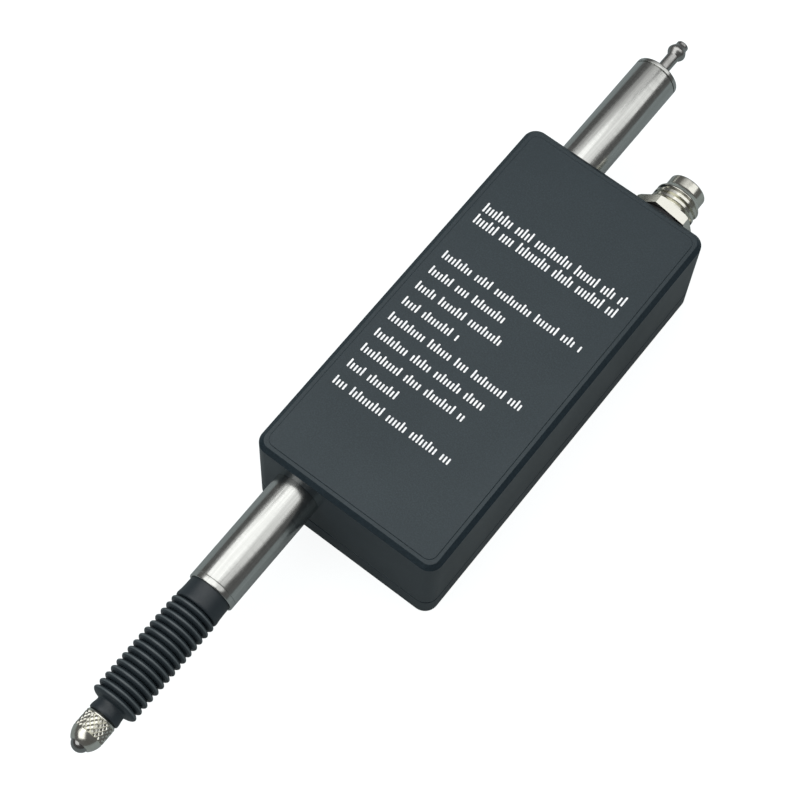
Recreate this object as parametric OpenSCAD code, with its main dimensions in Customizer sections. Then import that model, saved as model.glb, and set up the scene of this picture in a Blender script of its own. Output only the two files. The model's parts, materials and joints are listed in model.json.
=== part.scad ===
// Pneumatic-push grating displacement sensor, lying on the flat back of its housing.
// Origin: axis of the front stem where it leaves the housing.
// The probe tip points to -Y, the marked face to +Z.

/* [Housing] */
// Width of the housing, across the stem
body_w = 34; // [30:0.5:60]
// Length of the housing, along the stem
body_l = 71; // [70:0.5:100]
// Height of the housing, cover included
body_h = 19; // [18.5:0.5:30]
// Radius of the upright corners
corner_r = 2.3; // [1.6:0.1:4]
// Chamfer round the top edge
top_chamfer = 0.75; // [0.3:0.05:1.2]
// Thickness of the side walls
side_wall = 2; // [1.5:0.1:3]
// Thickness of the top wall
top_wall = 2.2; // [1.8:0.1:3]
// Thickness of the two end walls, which carry the tubes
end_wall = 7; // [5:0.5:9]
// Distance from the left wall to the stem axis
stem_from_left = 8.5; // [8:0.1:12]
// Distance from the marked face down to the stem axis
stem_from_top = 7; // [6.9:0.1:9]

/* [Face panel] */
// Distance from the wall to the inset panel
panel_inset = 1.35; // [1:0.05:3]
// Thickness of the panel
panel_t = 0.5; // [0.3:0.05:0.8]
// Open seam round the panel
panel_seam = 0.14; // [0.05:0.01:0.3]

/* [Bottom cover] */
// Thickness of the bottom cover at its edge
cover_t = 4; // [3:0.1:4.2]
// Thickness of the cover's floor
cover_floor = 2.2; // [1.8:0.1:2.6]
// Thickness of the gasket between cover and housing
gasket_t = 0.3; // [0.2:0.05:0.6]
// Distance that the gasket stands back from the wall
gasket_back = 0.3; // [0.1:0.05:0.6]
// Width of the gasket strip
gasket_w = 1.2; // [0.8:0.1:1.5]
// Distance from the walls to the cover screws
screw_inset = 3.9; // [3.8:0.1:4.4]
// Thread radius of the cover screws
screw_r = 1.25; // [1:0.05:1.4]
// Length of the cover screws
screw_l = 6; // [4:0.5:6.5]

/* [Front stem] */
// Outer radius of the front stem, which a fixture clamps
stem_r = 4; // [4:0.1:4.5]
// Length of the stem in front of the housing, end ring included
stem_out = 20.5; // [18:0.1:40]
// Length of the end ring
end_ring_l = 1; // [0.6:0.1:2]
// Length of the stem inside the cavity, behind the front wall
stem_in = 3; // [2.6:0.1:3.4]
// Radius of the ball race inside the stem
race_r = 3; // [2.9:0.05:3.2]
// Radius of the pocket that holds the bellows collar
collar_pocket_r = 3.65; // [3.6:0.05:3.8]
// Depth of that pocket behind the end ring
collar_pocket_l = 2.2; // [1.5:0.1:3]
// Length of the front guide bush behind the collar pocket
bush_l = 5; // [3:0.1:5.3]
// Step in radius where the two tubes enter the end walls
seat_step = 0.2; // [0.16:0.02:0.3]
// Outer radius of the retaining rings that hold the two tubes
clip_r = 4.7; // [4.6:0.05:4.75]
// Thickness of those rings
clip_t = 1; // [0.6:0.1:1.5]
// Depth of the groove that each ring sits in
clip_groove = 0.3; // [0.2:0.05:0.4]

/* [Spindle] */
// Radius of the measuring spindle
spindle_r = 2; // [1.8:0.05:2.1]
// Measuring stroke
stroke = 12.7; // [8:0.1:12.7]
// Radial running clearance of the spindle in its bushes
run_gap = 0.05; // [0.02:0.01:0.08]
// Radius of the spindle's neck under the bellows
neck_r = 1.6; // [1.4:0.05:1.7]
// Radius of the tapped hole and of the tip's thread
tip_thread_r = 1.25; // [1:0.05:1.3]
// Length of the tip's thread
tip_thread_l = 4; // [3:0.5:6]

/* [Ball cage] */
// Radius of the bearing balls
ball_r = 0.48; // [0.4:0.01:0.49]
// Balls in each ring
balls_per_ring = 6; // [4:1:7]
// Rings of balls
ball_rings = 4; // [2:1:4]
// Distance between the rings
ring_pitch = 2.8; // [1.6:0.1:2.8]
// Thickness of the cage wall
cage_wall = 0.5; // [0.3:0.05:0.6]
// Cage left over beyond the end rings
cage_end = 1.2; // [0.8:0.1:1.3]

/* [Bellows] */
// Number of convolutions
folds = 15; // [8:1:20]
// Distance between two crests
fold_pitch = 1.24; // [1.1:0.01:1.6]
// Outer radius at the crests
crest_r = 3.93; // [3.7:0.01:3.96]
// Outer radius between the crests
valley_r = 3.05; // [2.95:0.05:3.3]
// Radial wall of the bellows
bellows_wall = 0.5; // [0.3:0.05:0.55]
// Radius of the collar where it leaves the end ring
collar_r = 3.6; // [3.5:0.05:3.6]
// Length of the plain collar in front of the end ring
collar_l = 3.5; // [2:0.1:6]
// Radius of the front lip that grips the spindle
lip_r = 2.55; // [2.2:0.05:3]
// Length of the front lip
lip_l = 2.1; // [1.5:0.1:4]

/* [Contact tip] */
// Largest radius of the contact tip
tip_r = 2.55; // [2:0.05:3]
// Length of the straight, knurled part
tip_straight = 2.85; // [2:0.05:5]
// Length of the rounded nose up to the ball seat
tip_nose = 2.25; // [1.5:0.05:4]
// Radius of the nose at the ball seat
tip_seat_r = 1.66; // [1.6:0.01:1.9]
// Radius of the contact ball
tip_ball_r = 1.5; // [1:0.05:1.55]
// Length of the ball that stands out of the nose
tip_ball_out = 1.08; // [0.6:0.02:1.2]

/* [Rear cylinder] */
// Outer radius of the rear cylinder
cyl_r = 4; // [3.8:0.05:4.4]
// Length of the cylinder behind the housing, end cap included
cyl_out = 24; // [23:0.1:40]
// Bore radius of the cylinder
cyl_bore_r = 3; // [2.9:0.05:3.2]
// Thickness of the end cap's rim
cap_rim = 0.95; // [0.6:0.05:2]
// Length of the cap's spigot inside the bore
cap_spigot = 3.5; // [3:0.1:4]
// Length of the gland bush at the front of the cylinder
gland_l = 5; // [3:0.1:6]
// Length of the piston
piston_l = 4; // [3.5:0.1:4.5]
// Wire radius of the return spring
wire_r = 0.2; // [0.15:0.01:0.22]
// Turns of the return spring
spring_turns = 9; // [5:1:9]

/* [Air nipple] */
// Radius of the nipple's shaft
nipple_r = 1.07; // [0.9:0.01:1.2]
// Radius of the barb
barb_r = 1.62; // [1.4:0.01:1.8]
// Length of the nipple behind the end cap
nipple_out = 7.65; // [5:0.05:12]
// Radius of the air passage
air_r = 0.6; // [0.4:0.05:0.7]

/* [Connector] */
// Distance from the right wall to the connector axis
conn_from_right = 9.1; // [8.8:0.1:10]
// Radius of the connector's thread
conn_r = 4; // [3.9:0.05:4.2]
// Hexagon, across flats
conn_hex_af = 9.8; // [9.5:0.1:11]
// Thickness of the hexagon
conn_hex_t = 1.7; // [1.2:0.1:3]
// Turn of the hexagon about the connector axis
conn_hex_turn = 13.7; // [0:0.1:30]
// Length of the thread behind the hexagon
conn_thread_l = 3.4; // [2:0.1:8]
// Length of the chamfer between thread and nose
conn_step_l = 1.15; // [0.6:0.05:2]
// Radius of the nose
conn_nose_r = 3.3; // [3.2:0.05:3.6]
// Length of the nose
conn_nose_l = 1.85; // [1:0.05:4]
// Radius of the socket
conn_socket_r = 2.75; // [2.6:0.05:2.8]
// Depth of the socket
conn_socket_l = 5; // [4:0.1:5.5]
// Thickness of the sealing ring under the hexagon
conn_seal_t = 1.35; // [0.8:0.05:2]
// Radius of the sealing ring
conn_seal_r = 4.75; // [4.6:0.05:5]
// Contact pins
pin_count = 4; // [3:1:6]
// Radius of a contact pin
pin_r = 0.5; // [0.3:0.05:0.5]
// Radius of the circle that the pins stand on
pin_circle_r = 1.6; // [1.5:0.05:1.7]

/* [Measuring system] */
// Thickness of the circuit board
board_t = 1.6; // [1:0.1:1.6]
// Height of the board above the bottom cover's seam
board_room = 0.45; // [0.3:0.05:0.8]
// Room between the board's edge and the walls
board_edge = 0.6; // [0.4:0.1:1]
// Length of the glass scale
scale_l = 20; // [18:0.5:21]
// Width of the glass scale
scale_w = 8; // [6:0.5:8]
// Thickness of the glass scale
scale_t = 1; // [0.7:0.1:1.1]
// Air gap between the scale and the index grating
grating_gap = 0.4; // [0.3:0.05:0.6]
// Distance from the housing's front to the read head
head_y = 33.6; // [33:0.1:34]
// Width of the read head along the scale
head_l = 6; // [4:0.5:7]

/* [Hidden] */
$fn = 72;
eps = 0.01;

// Housing faces in the stem's frame
left_x = -stem_from_left;
right_x = body_w - stem_from_left;
mid_x = (left_x + right_x) / 2;
top_z = stem_from_top;
back_z = top_z - body_h;
seam_z = back_z + cover_t;
shell_z = seam_z + gasket_t / 2;
cover_top_z = seam_z - gasket_t / 2;
ceiling_z = top_z - top_wall;
in_left = left_x + side_wall;
in_right = right_x - side_wall;
in_front = end_wall;
in_rear = body_l - end_wall;

// Stem, spindle and bellows stations along Y
stem_seat_r = stem_r - seat_step;
cyl_seat_r = cyl_r - seat_step;
stem_front = -stem_out + end_ring_l;
collar_seat = stem_front + collar_pocket_l;
bush_front = -stem_out + 0.4;
bush_rear = collar_seat + bush_l;
fold_start = -stem_out - collar_l;
fold_end = fold_start - folds * fold_pitch;
lip_front = fold_end - lip_l;
tip_base = lip_front - 0.05;
neck_y = fold_end + 0.4;
seat_y = tip_base - tip_straight - tip_nose;
ball_y = seat_y - tip_ball_out + tip_ball_r;
cage_rear = in_front + 0.2;
cage_l = (ball_rings - 1) * ring_pitch + 2 * cage_end;
cage_front = cage_rear - cage_l;
cage_mid_r = (race_r + spindle_r) / 2;

// Cylinder and piston stations along Y
cyl_front = in_rear - stem_in;
cyl_rear = body_l + cyl_out - cap_rim;
gland_rear = cyl_front + gland_l;
cap_front = cyl_rear - cap_spigot;
cap_groove_y = cap_front + 1;
cap_groove_w = 1;
cap_groove_r = cyl_bore_r - 0.7;
nipple_root = cap_front + 1.5;
piston_nut_t = 1.6;
piston_rear = cap_front - 0.4 - piston_nut_t;
piston_front = piston_rear - piston_l;
rod_r = 1;
seal_groove_w = 1.2;
seal_groove_r = 2.1;

// Connector stations along Y
conn_x = right_x - conn_from_right;
hex_front = body_l + conn_seal_t;
hex_rear = hex_front + conn_hex_t;
hex_corner = 0.5;
thread_rear = hex_rear + conn_thread_l;
nose_front = thread_rear + conn_step_l;
nose_rear = nose_front + conn_nose_l;
socket_floor = nose_rear - conn_socket_l;
conn_nut_t = 2;
conn_nut_af = 9.4;
conn_inner = in_rear - conn_nut_t - 0.6;
conn_hole_gap = 0.1;
insert_r = conn_socket_r - 0.25;
key_w = 0.8;
key_h = 0.7;
pin_tail = 1.5;
pin_end = nose_rear - 1.2;
lead_r = 0.4;
lead_pitch = 1.3;
lead_bend = 1.2;
header_w = 8;
header_l = 4;
header_h = 1.4;
header_y = in_rear - header_l - 7.5;

// Board and read head
board_z = shell_z + board_room;
board_top = board_z + board_t;
post_r = 1.5;
post_screw_r = 0.8;
post_head_r = 1.4;
post_head_t = 0.8;
post_screw_l = board_t + 3;
post_bore_l = post_screw_l - board_t + 1;
slot_w = 0.4;
slot_deep = 0.4;
left_post_x = in_left + 1.8;
right_post_x = in_right - 2.6;
front_post_y = in_front + stem_in + 2;
rear_post_y = cyl_front - 4;
posts = [[left_post_x, front_post_y], [right_post_x, front_post_y],
    [left_post_x, rear_post_y], [right_post_x, rear_post_y]];
chip_gap = 1.4;
large_chip = [7, 7, 1.2];
middle_chip = [4, 5, 0.8];
small_chip = [3, 5, 1];
carrier_half = 3;
carrier_h = 3;
carrier_floor = 0.6;
carrier_end = 1;
carrier_l = scale_l + 2 * carrier_end;
grub_r = 1;
grub_socket_r = 0.5;
grub_in = 3;
ledge_w = 2;
ledge_t = 1;
scale_x = carrier_half + carrier_floor;
scale_out = scale_x + scale_w;
detector_w = 3.4;
detector_x = scale_out - detector_w - 0.4;
grating_t = 0.8;
grating_z = -scale_t / 2 - grating_gap - grating_t;
bracket_x = scale_out + 0.8;
bracket_w = 3.4;
bracket_foot = 12.4;
foot_screw_in = 1.4;
foot_screw_y = [head_y - bracket_foot / 2 + foot_screw_in, head_y + bracket_foot / 2 - foot_screw_in];
bracket_top = 3.9;
jaw_z = 1.9;
foot_t = 1.5;
small_r = 0.8;
small_head_r = 1.3;
small_head_t = 0.9;
lamp_r = 1.5;
pin_guide_r = 0.75;
pin_slot_gap = 0.06;
rail_t = 1.4;
rail_z = ceiling_z - rail_t;
rail_bite = 1.2;
head_sink = 0.7;
rail_w = 6;
rail_margin = 3.2;
collar_stop_l = 3;
collar_stop_r = 2.9;
collar_stop_y = in_front + stem_in + stroke + 0.3;
carrier_front = collar_stop_y + collar_stop_l + 2;
carrier_screw_y = [carrier_front + grub_in, carrier_front + carrier_l - grub_in];
scale_y = carrier_front + carrier_end;
pin_guide_y = carrier_front + carrier_l / 2;
rail_front = pin_guide_y - stroke - pin_guide_r - rail_margin;
rail_rear = pin_guide_y + pin_guide_r + rail_margin;
rail_screw_in = 1.5;
rail_screw_y = [rail_front + rail_screw_in, rail_rear - rail_screw_in];

// Profile of [radius, y] points turned about the stem axis
module turned(profile) {
    rotate([-90, 0, 0])
        rotate_extrude()
            polygon(profile);
}

// Cylinder along Y from y0 to y1
module rod_y(r, y0, y1) {
    translate([0, y0, 0])
        rotate([-90, 0, 0])
            cylinder(r = r, h = y1 - y0);
}

// Tube along Y from y0 to y1
module tube_y(r_out, r_in, y0, y1) {
    difference() {
        rod_y(r_out, y0, y1);
        rod_y(r_in, y0 - 1, y1 + 1);
    }
}

// Block with round upright corners, centred on X and starting at y = 0
module round_block(w, l, h, r) {
    translate([-w / 2, r, 0])
        cube([w, l - 2 * r, h]);
    translate([r - w / 2, 0, 0])
        cube([w - 2 * r, l, h]);
    for (x = [r - w / 2, w / 2 - r], y = [r, l - r])
        translate([x, y, 0])
            cylinder(r = r, h = h);
}

// Top slice of that block, drawn in by c at 45 degrees
module chamfer_slice(w, l, r, c) {
    translate([0, l - r, 0])
        rotate([90, 0, 0])
            linear_extrude(l - 2 * r)
                polygon([[-w / 2, 0], [w / 2, 0], [w / 2 - c, c], [c - w / 2, c]]);
    translate([r - w / 2, 0, 0])
        rotate([90, 0, 90])
            linear_extrude(w - 2 * r)
                polygon([[0, 0], [l, 0], [l - c, c], [c, c]]);
    for (x = [r - w / 2, w / 2 - r], y = [r, l - r])
        translate([x, y, 0])
            cylinder(r1 = r, r2 = r - c, h = c);
}

// Places a child at each of the four cover screws
module at_cover_screws() {
    for (x = [left_x + screw_inset, right_x - screw_inset], y = [screw_inset, body_l - screw_inset])
        translate([x, y, 0])
            children();
}

// Aluminium case, open at the bottom
module housing() {
    color([0.27, 0.30, 0.33])
        difference() {
            union() {
                difference() {
                    union() {
                        translate([mid_x, 0, shell_z])
                            round_block(body_w, body_l, top_z - top_chamfer - shell_z, corner_r);
                        translate([mid_x, 0, top_z - top_chamfer])
                            chamfer_slice(body_w, body_l, corner_r, top_chamfer);
                    }
                    translate([in_left, in_front, shell_z - 1])
                        cube([in_right - in_left, in_rear - in_front, ceiling_z - shell_z + 1]);
                }
                for (p = posts)
                    translate([p[0], p[1], board_top])
                        cylinder(r = post_r, h = ceiling_z - board_top + eps);
            }
            translate([mid_x, panel_inset, top_z - panel_t])
                round_block(body_w - 2 * panel_inset, body_l - 2 * panel_inset, 1, corner_r - top_chamfer);
            rod_y(stem_seat_r, -1, in_front + 1);
            rod_y(cyl_seat_r, in_rear - 1, body_l + 1);
            translate([conn_x, 0, 0])
                rod_y(conn_r + conn_hole_gap, in_rear - 1, body_l + 1);
            at_cover_screws()
                translate([0, 0, shell_z - 1])
                    cylinder(r = screw_r, h = screw_l - cover_floor + 1.2);
            for (p = posts)
                translate([p[0], p[1], board_top - 1])
                    cylinder(r = post_screw_r, h = post_bore_l + 1);
            for (y = rail_screw_y)
                translate([0, y, ceiling_z - 1])
                    cylinder(r = small_r, h = rail_bite + 1);
        }
}

// Marked panel that lies flush in the top
module face_panel() {
    inset = panel_inset + panel_seam;
    color([0.30, 0.33, 0.36])
        translate([mid_x, inset, top_z - panel_t])
            round_block(body_w - 2 * inset, body_l - 2 * inset, panel_t,
                corner_r - top_chamfer - panel_seam);
}

// Flat back cover with a hollowed floor
module bottom_cover() {
    rim = 2 * screw_inset;
    color([0.25, 0.27, 0.30])
        difference() {
            translate([mid_x, 0, back_z])
                round_block(body_w, body_l, cover_top_z - back_z, corner_r);
            translate([left_x + side_wall, rim, back_z + cover_floor])
                cube([body_w - 2 * side_wall, body_l - 2 * rim, cover_t]);
            at_cover_screws() {
                translate([0, 0, back_z - 1])
                    cylinder(r = screw_r + 0.15, h = cover_t + 2);
                translate([0, 0, back_z - 1])
                    cylinder(r = 2 * screw_r + 0.15, h = cover_t - cover_floor + 1);
            }
        }
}

// Flat gasket in the seam, seen as a thin dark line
module cover_gasket() {
    out = gasket_back;
    inner = gasket_back + gasket_w;
    color([0.05, 0.05, 0.06])
        difference() {
            translate([mid_x, out, cover_top_z])
                round_block(body_w - 2 * out, body_l - 2 * out, gasket_t, corner_r - out);
            translate([mid_x, inner, cover_top_z - 1])
                round_block(body_w - 2 * inner, body_l - 2 * inner, gasket_t + 2, corner_r / 3);
        }
}

// Socket head screws, sunk below the back
module cover_screws() {
    head_t = cover_t - cover_floor - 0.3;
    seat_z = back_z + cover_t - cover_floor;
    color([0.45, 0.46, 0.48])
        at_cover_screws()
            difference() {
                union() {
                    translate([0, 0, seat_z - head_t])
                        cylinder(r = 2 * screw_r, h = head_t);
                    translate([0, 0, seat_z])
                        cylinder(r = screw_r, h = screw_l);
                }
                translate([0, 0, seat_z - head_t - 1])
                    cylinder(r = screw_r, h = head_t * 0.7 + 1, $fn = 6);
            }
}

// Hardened tube that guides the spindle
module front_stem() {
    color([0.78, 0.78, 0.77])
        difference() {
            turned([[race_r, stem_front], [stem_r, stem_front], [stem_r, 0], [stem_seat_r, 0],
                [stem_seat_r, in_front], [stem_seat_r - clip_groove, in_front],
                [stem_seat_r - clip_groove, in_front + clip_t], [stem_seat_r, in_front + clip_t],
                [stem_seat_r, in_front + stem_in], [race_r, in_front + stem_in]]);
            rod_y(collar_pocket_r, stem_front - 1, collar_seat);
        }
}

// Thin ring that closes the stem round the bellows collar
module stem_end_ring() {
    edge = 0.22;
    color([0.80, 0.80, 0.79])
        turned([[collar_pocket_r, -stem_out], [stem_r - edge, -stem_out], [stem_r, edge - stem_out],
            [stem_r, stem_front], [collar_pocket_r, stem_front]]);
}

// Front bush, whose nose backs the bellows collar
module guide_bush() {
    color([0.72, 0.58, 0.30])
        tube_y(race_r, spindle_r + run_gap, bush_front, bush_rear);
}

// Open retaining ring in a groove of radius r, from y0 to y1
module retaining_ring(r, y0, y1) {
    opening = 2;
    difference() {
        tube_y(clip_r, r, y0, y1);
        translate([-opening / 2, y0 - 1, 0])
            cube([opening, y1 - y0 + 2, clip_r + 1]);
    }
}

module stem_clip() {
    color([0.62, 0.60, 0.55])
        retaining_ring(stem_seat_r - clip_groove, in_front, in_front + clip_t);
}

module cylinder_clip() {
    color([0.62, 0.60, 0.55])
        retaining_ring(cyl_seat_r - clip_groove, in_rear - clip_t, in_rear);
}

// Air cylinder behind the housing
module rear_cylinder() {
    color([0.76, 0.76, 0.75])
        turned([[cyl_bore_r, cyl_front], [cyl_seat_r, cyl_front], [cyl_seat_r, in_rear - clip_t],
            [cyl_seat_r - clip_groove, in_rear - clip_t], [cyl_seat_r - clip_groove, in_rear],
            [cyl_seat_r, in_rear], [cyl_seat_r, body_l], [cyl_r, body_l], [cyl_r, cyl_rear],
            [cyl_bore_r, cyl_rear]]);
}

// Bush that closes the front of the cylinder round the spindle
module cylinder_gland() {
    color([0.72, 0.58, 0.30])
        tube_y(cyl_bore_r, spindle_r + run_gap, cyl_front, gland_rear);
}

// Rear cap with a groove for its seal and a seat for the nipple
module cylinder_end_cap() {
    edge = 0.15;
    color([0.79, 0.79, 0.78])
        difference() {
            turned([[air_r, cap_front], [cyl_bore_r, cap_front], [cyl_bore_r, cyl_rear], [cyl_r, cyl_rear],
                [cyl_r, cyl_rear + cap_rim - edge], [cyl_r - edge, cyl_rear + cap_rim],
                [air_r, cyl_rear + cap_rim]]);
            tube_y(cyl_bore_r + 1, cap_groove_r, cap_groove_y, cap_groove_y + cap_groove_w);
            rod_y(nipple_r, nipple_root, cyl_rear + cap_rim + 1);
        }
}

module cap_seal() {
    color([0.06, 0.06, 0.06])
        tube_y(cyl_bore_r, cap_groove_r, cap_groove_y + 0.1, cap_groove_y + cap_groove_w - 0.1);
}

// Barbed nipple for the air tube
module air_nipple() {
    end = cyl_rear + cap_rim + nipple_out;
    barb = end - 1.9;
    color([0.74, 0.72, 0.66])
        turned([[air_r, nipple_root], [nipple_r, nipple_root],
            [nipple_r, barb - 1.05], [nipple_r + 0.12, barb - 0.95], [barb_r - 0.1, barb - 0.3],
            [barb_r, barb - 0.05], [barb_r - 0.06, barb + 0.25],
            [nipple_r + 0.05, barb + 1.1], [nipple_r, barb + 1.25], [nipple_r, end - 0.25],
            [nipple_r - 0.2, end], [air_r, end]]);
}

// Metal shell: threaded neck, hexagon, thread, step and nose
module connector_shell() {
    color([0.80, 0.78, 0.71])
        translate([conn_x, 0, 0])
            difference() {
                union() {
                    turned([[0, conn_inner], [conn_r, conn_inner], [conn_r, thread_rear],
                        [conn_nose_r, nose_front], [conn_nose_r, nose_rear - 0.3],
                        [conn_nose_r - 0.2, nose_rear], [0, nose_rear]]);
                    intersection() {
                        translate([0, hex_front, 0])
                            rotate([-90, 0, 0])
                                rotate([0, 0, conn_hex_turn])
                                    cylinder(r = conn_hex_af / sqrt(3), h = conn_hex_t, $fn = 6);
                        turned([[0, hex_front], [conn_hex_af / sqrt(3), hex_front],
                            [conn_hex_af / sqrt(3), hex_rear - hex_corner], [conn_hex_af / 2, hex_rear],
                            [0, hex_rear]]);
                    }
                }
                rod_y(conn_socket_r, socket_floor, nose_rear + 1);
                rod_y(insert_r, conn_inner - 1, socket_floor + 1);
            }
}

module connector_seal() {
    color([0.04, 0.04, 0.04])
        translate([conn_x, 0, 0])
            tube_y(conn_seal_r, conn_r, body_l, hex_front);
}

module connector_nut() {
    color([0.75, 0.73, 0.66])
        translate([conn_x, 0, 0])
            difference() {
                translate([0, in_rear - conn_nut_t, 0])
                    rotate([-90, 0, 0])
                        cylinder(r = conn_nut_af / sqrt(3), h = conn_nut_t, $fn = 6);
                rod_y(conn_r, in_rear - conn_nut_t - 1, in_rear + 1);
            }
}

// Place of contact pin i
function pin_place(i) = let (a = 45 + i * 360 / pin_count) [pin_circle_r * cos(a), pin_circle_r * sin(a)];

// Plastic core that holds the pins, with a polarising key
module connector_insert() {
    color([0.08, 0.08, 0.09])
        translate([conn_x, 0, 0])
            difference() {
                union() {
                    rod_y(insert_r, conn_inner, socket_floor + 0.6);
                    translate([-key_w / 2, socket_floor + 0.3, conn_socket_r - key_h - 0.15])
                        cube([key_w, conn_socket_l - 1.3, key_h]);
                }
                for (i = [0 : pin_count - 1])
                    translate([pin_place(i)[0], 0, pin_place(i)[1]])
                        rod_y(pin_r, conn_inner - 1, nose_rear);
            }
}

module connector_pins() {
    color([0.85, 0.68, 0.30])
        translate([conn_x, 0, 0])
            for (i = [0 : pin_count - 1])
                translate([pin_place(i)[0], 0, pin_place(i)[1]]) {
                    rod_y(pin_r, conn_inner - pin_tail, pin_end);
                    translate([0, pin_end, 0])
                        sphere(r = pin_r, $fn = 24);
                }
}

// Circuit board under the measuring system
module main_board() {
    x0 = in_left + board_edge;
    y0 = in_front + stem_in + board_edge;
    color([0.07, 0.30, 0.16])
        difference() {
            translate([x0, y0, board_z])
                cube([in_right - in_left - 2 * board_edge, cyl_front - board_edge - y0, board_t]);
            for (p = posts)
                translate([p[0], p[1], board_z - 1])
                    cylinder(r = post_screw_r, h = board_t + 2);
            for (y = foot_screw_y)
                translate([bracket_x + bracket_w / 2, y, board_z - 1])
                    cylinder(r = small_r, h = board_t + 2);
        }
}

module board_screws() {
    color([0.70, 0.70, 0.70])
        for (p = posts)
            translate([p[0], p[1], board_z]) {
                cylinder(r = post_screw_r, h = post_screw_l);
                translate([0, 0, -post_head_t])
                    difference() {
                        cylinder(r = post_head_r, h = post_head_t);
                        translate([-post_head_r, -slot_w / 2, -1])
                            cube([2 * post_head_r, slot_w, slot_deep + 1]);
                    }
            }
}

// Integrated circuits on the board
module board_chips() {
    row_y = front_post_y + post_r + chip_gap;
    small_x = right_post_x - small_chip[0];
    color([0.10, 0.10, 0.11]) {
        translate([small_x - chip_gap - large_chip[0], row_y, board_top])
            cube(large_chip);
        translate([small_x, row_y, board_top])
            cube(small_chip);
        translate([left_post_x, row_y, board_top])
            cube(middle_chip);
    }
}

// Place of lead i in the header's row
function lead_row(i) = (i - (pin_count - 1) / 2) * lead_pitch;
// Pin that lead i runs to, so that no two leads cross
function lead_pin(i) = let (order = [2, 1, 3, 0]) order[i % 4];
// Point at t on the curve that leaves a towards b and arrives at c
function bend(a, b, c, t) = (1 - t) * (1 - t) * a + 2 * t * (1 - t) * b + t * t * c;
// Direction of a path at its point i
function heading(path, i) =
    let (n = len(path) - 1, d = path[min(i + 1, n)] - path[max(i - 1, 0)]) d / norm(d);

module wire_header() {
    color([0.90, 0.88, 0.80])
        difference() {
            translate([conn_x - header_w / 2, header_y - header_l / 2, board_top])
                cube([header_w, header_l, header_h]);
            for (i = [0 : pin_count - 1])
                translate([conn_x + lead_row(i), header_y, board_top + 1])
                    cylinder(r = lead_r, h = header_h, $fn = 24);
        }
}

// Round wire of radius r along a path that never runs along X
module wire(path, r) {
    sides = 8;
    n = len(path) - 1;
    rings = [for (i = [0 : n])
        let (t = heading(path, i), across = cross([1, 0, 0], t), u = across / norm(across), v = cross(t, u))
            for (j = [0 : sides - 1])
                path[i] + r * (cos(360 * j / sides) * u + sin(360 * j / sides) * v)];
    walls = [for (i = [0 : n - 1], j = [0 : sides - 1])
        let (k = (j + 1) % sides)
            [i * sides + k, i * sides + j, (i + 1) * sides + j, (i + 1) * sides + k]];
    start = [[for (j = [0 : sides - 1]) j]];
    finish = [[for (j = [sides - 1 : -1 : 0]) n * sides + j]];
    polyhedron(rings, concat(walls, start, finish), convexity = 6);
}

// Leads from the board to the back of the contact pins
module signal_wires() {
    colors = ["brown", "white", "blue", "black"];
    bend_steps = 6;
    for (i = [0 : pin_count - 1]) {
        p = pin_place(lead_pin(i));
        corner = [conn_x + lead_row(i), header_y, p[1]];
        end = [conn_x + p[0], conn_inner - pin_tail, p[1]];
        before_pin = end - [0, 1, 0];
        onward = before_pin - corner;
        curve_end = corner + lead_bend * onward / norm(onward);
        color(colors[i % 4])
            wire(concat([[corner[0], header_y, board_top + 1]],
                [for (k = [0 : bend_steps])
                    bend(corner - [0, 0, lead_bend], corner, curve_end, k / bend_steps)],
                [before_pin, end]), lead_r);
    }
}

// Bracket that carries the light source over the scale
module read_head_bracket() {
    y0 = head_y - head_l / 2;
    color([0.55, 0.56, 0.58])
        difference() {
            union() {
                translate([bracket_x, head_y - bracket_foot / 2, board_top])
                    cube([bracket_w, bracket_foot, foot_t]);
                translate([bracket_x, y0, board_top])
                    cube([bracket_w, head_l, bracket_top - board_top]);
                translate([detector_x - 0.6, y0, jaw_z])
                    cube([bracket_x - detector_x + 1, head_l, bracket_top - jaw_z]);
            }
            translate([detector_x + detector_w / 2, head_y, jaw_z - 1])
                cylinder(r = lamp_r, h = bracket_top);
            for (y = foot_screw_y)
                translate([bracket_x + bracket_w / 2, y, board_top - 1])
                    cylinder(r = small_r, h = foot_t + 2);
        }
}

module bracket_screws() {
    color([0.70, 0.70, 0.70])
        for (y = foot_screw_y)
            translate([bracket_x + bracket_w / 2, y, board_z]) {
                cylinder(r = small_r, h = board_t + foot_t);
                translate([0, 0, board_t + foot_t])
                    difference() {
                        cylinder(r = small_head_r, h = small_head_t);
                        translate([-small_head_r - 1, -slot_w / 2, small_head_t - slot_deep])
                            cube([2 * small_head_r + 2, slot_w, slot_deep + 1]);
                    }
            }
}

// Lamp with a domed lens that points down at the scale
module light_source() {
    bottom = scale_t / 2 + 0.5;
    color([0.85, 0.90, 0.95])
        translate([detector_x + detector_w / 2, head_y, bottom])
            intersection() {
                cylinder(r = lamp_r, h = bracket_top - bottom);
                translate([0, 0, 2])
                    union() {
                        sphere(r = 2);
                        cylinder(r = 2, h = 3);
                    }
            }
}

module index_grating() {
    color([0.80, 0.88, 0.90, 0.6])
        translate([detector_x, head_y - 2, grating_z])
            cube([detector_w, 4, grating_t]);
}

module photo_detector() {
    color([0.14, 0.14, 0.16])
        translate([detector_x, head_y - 2.4, board_top])
            cube([detector_w, 4.8, grating_z - board_top]);
}

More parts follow.
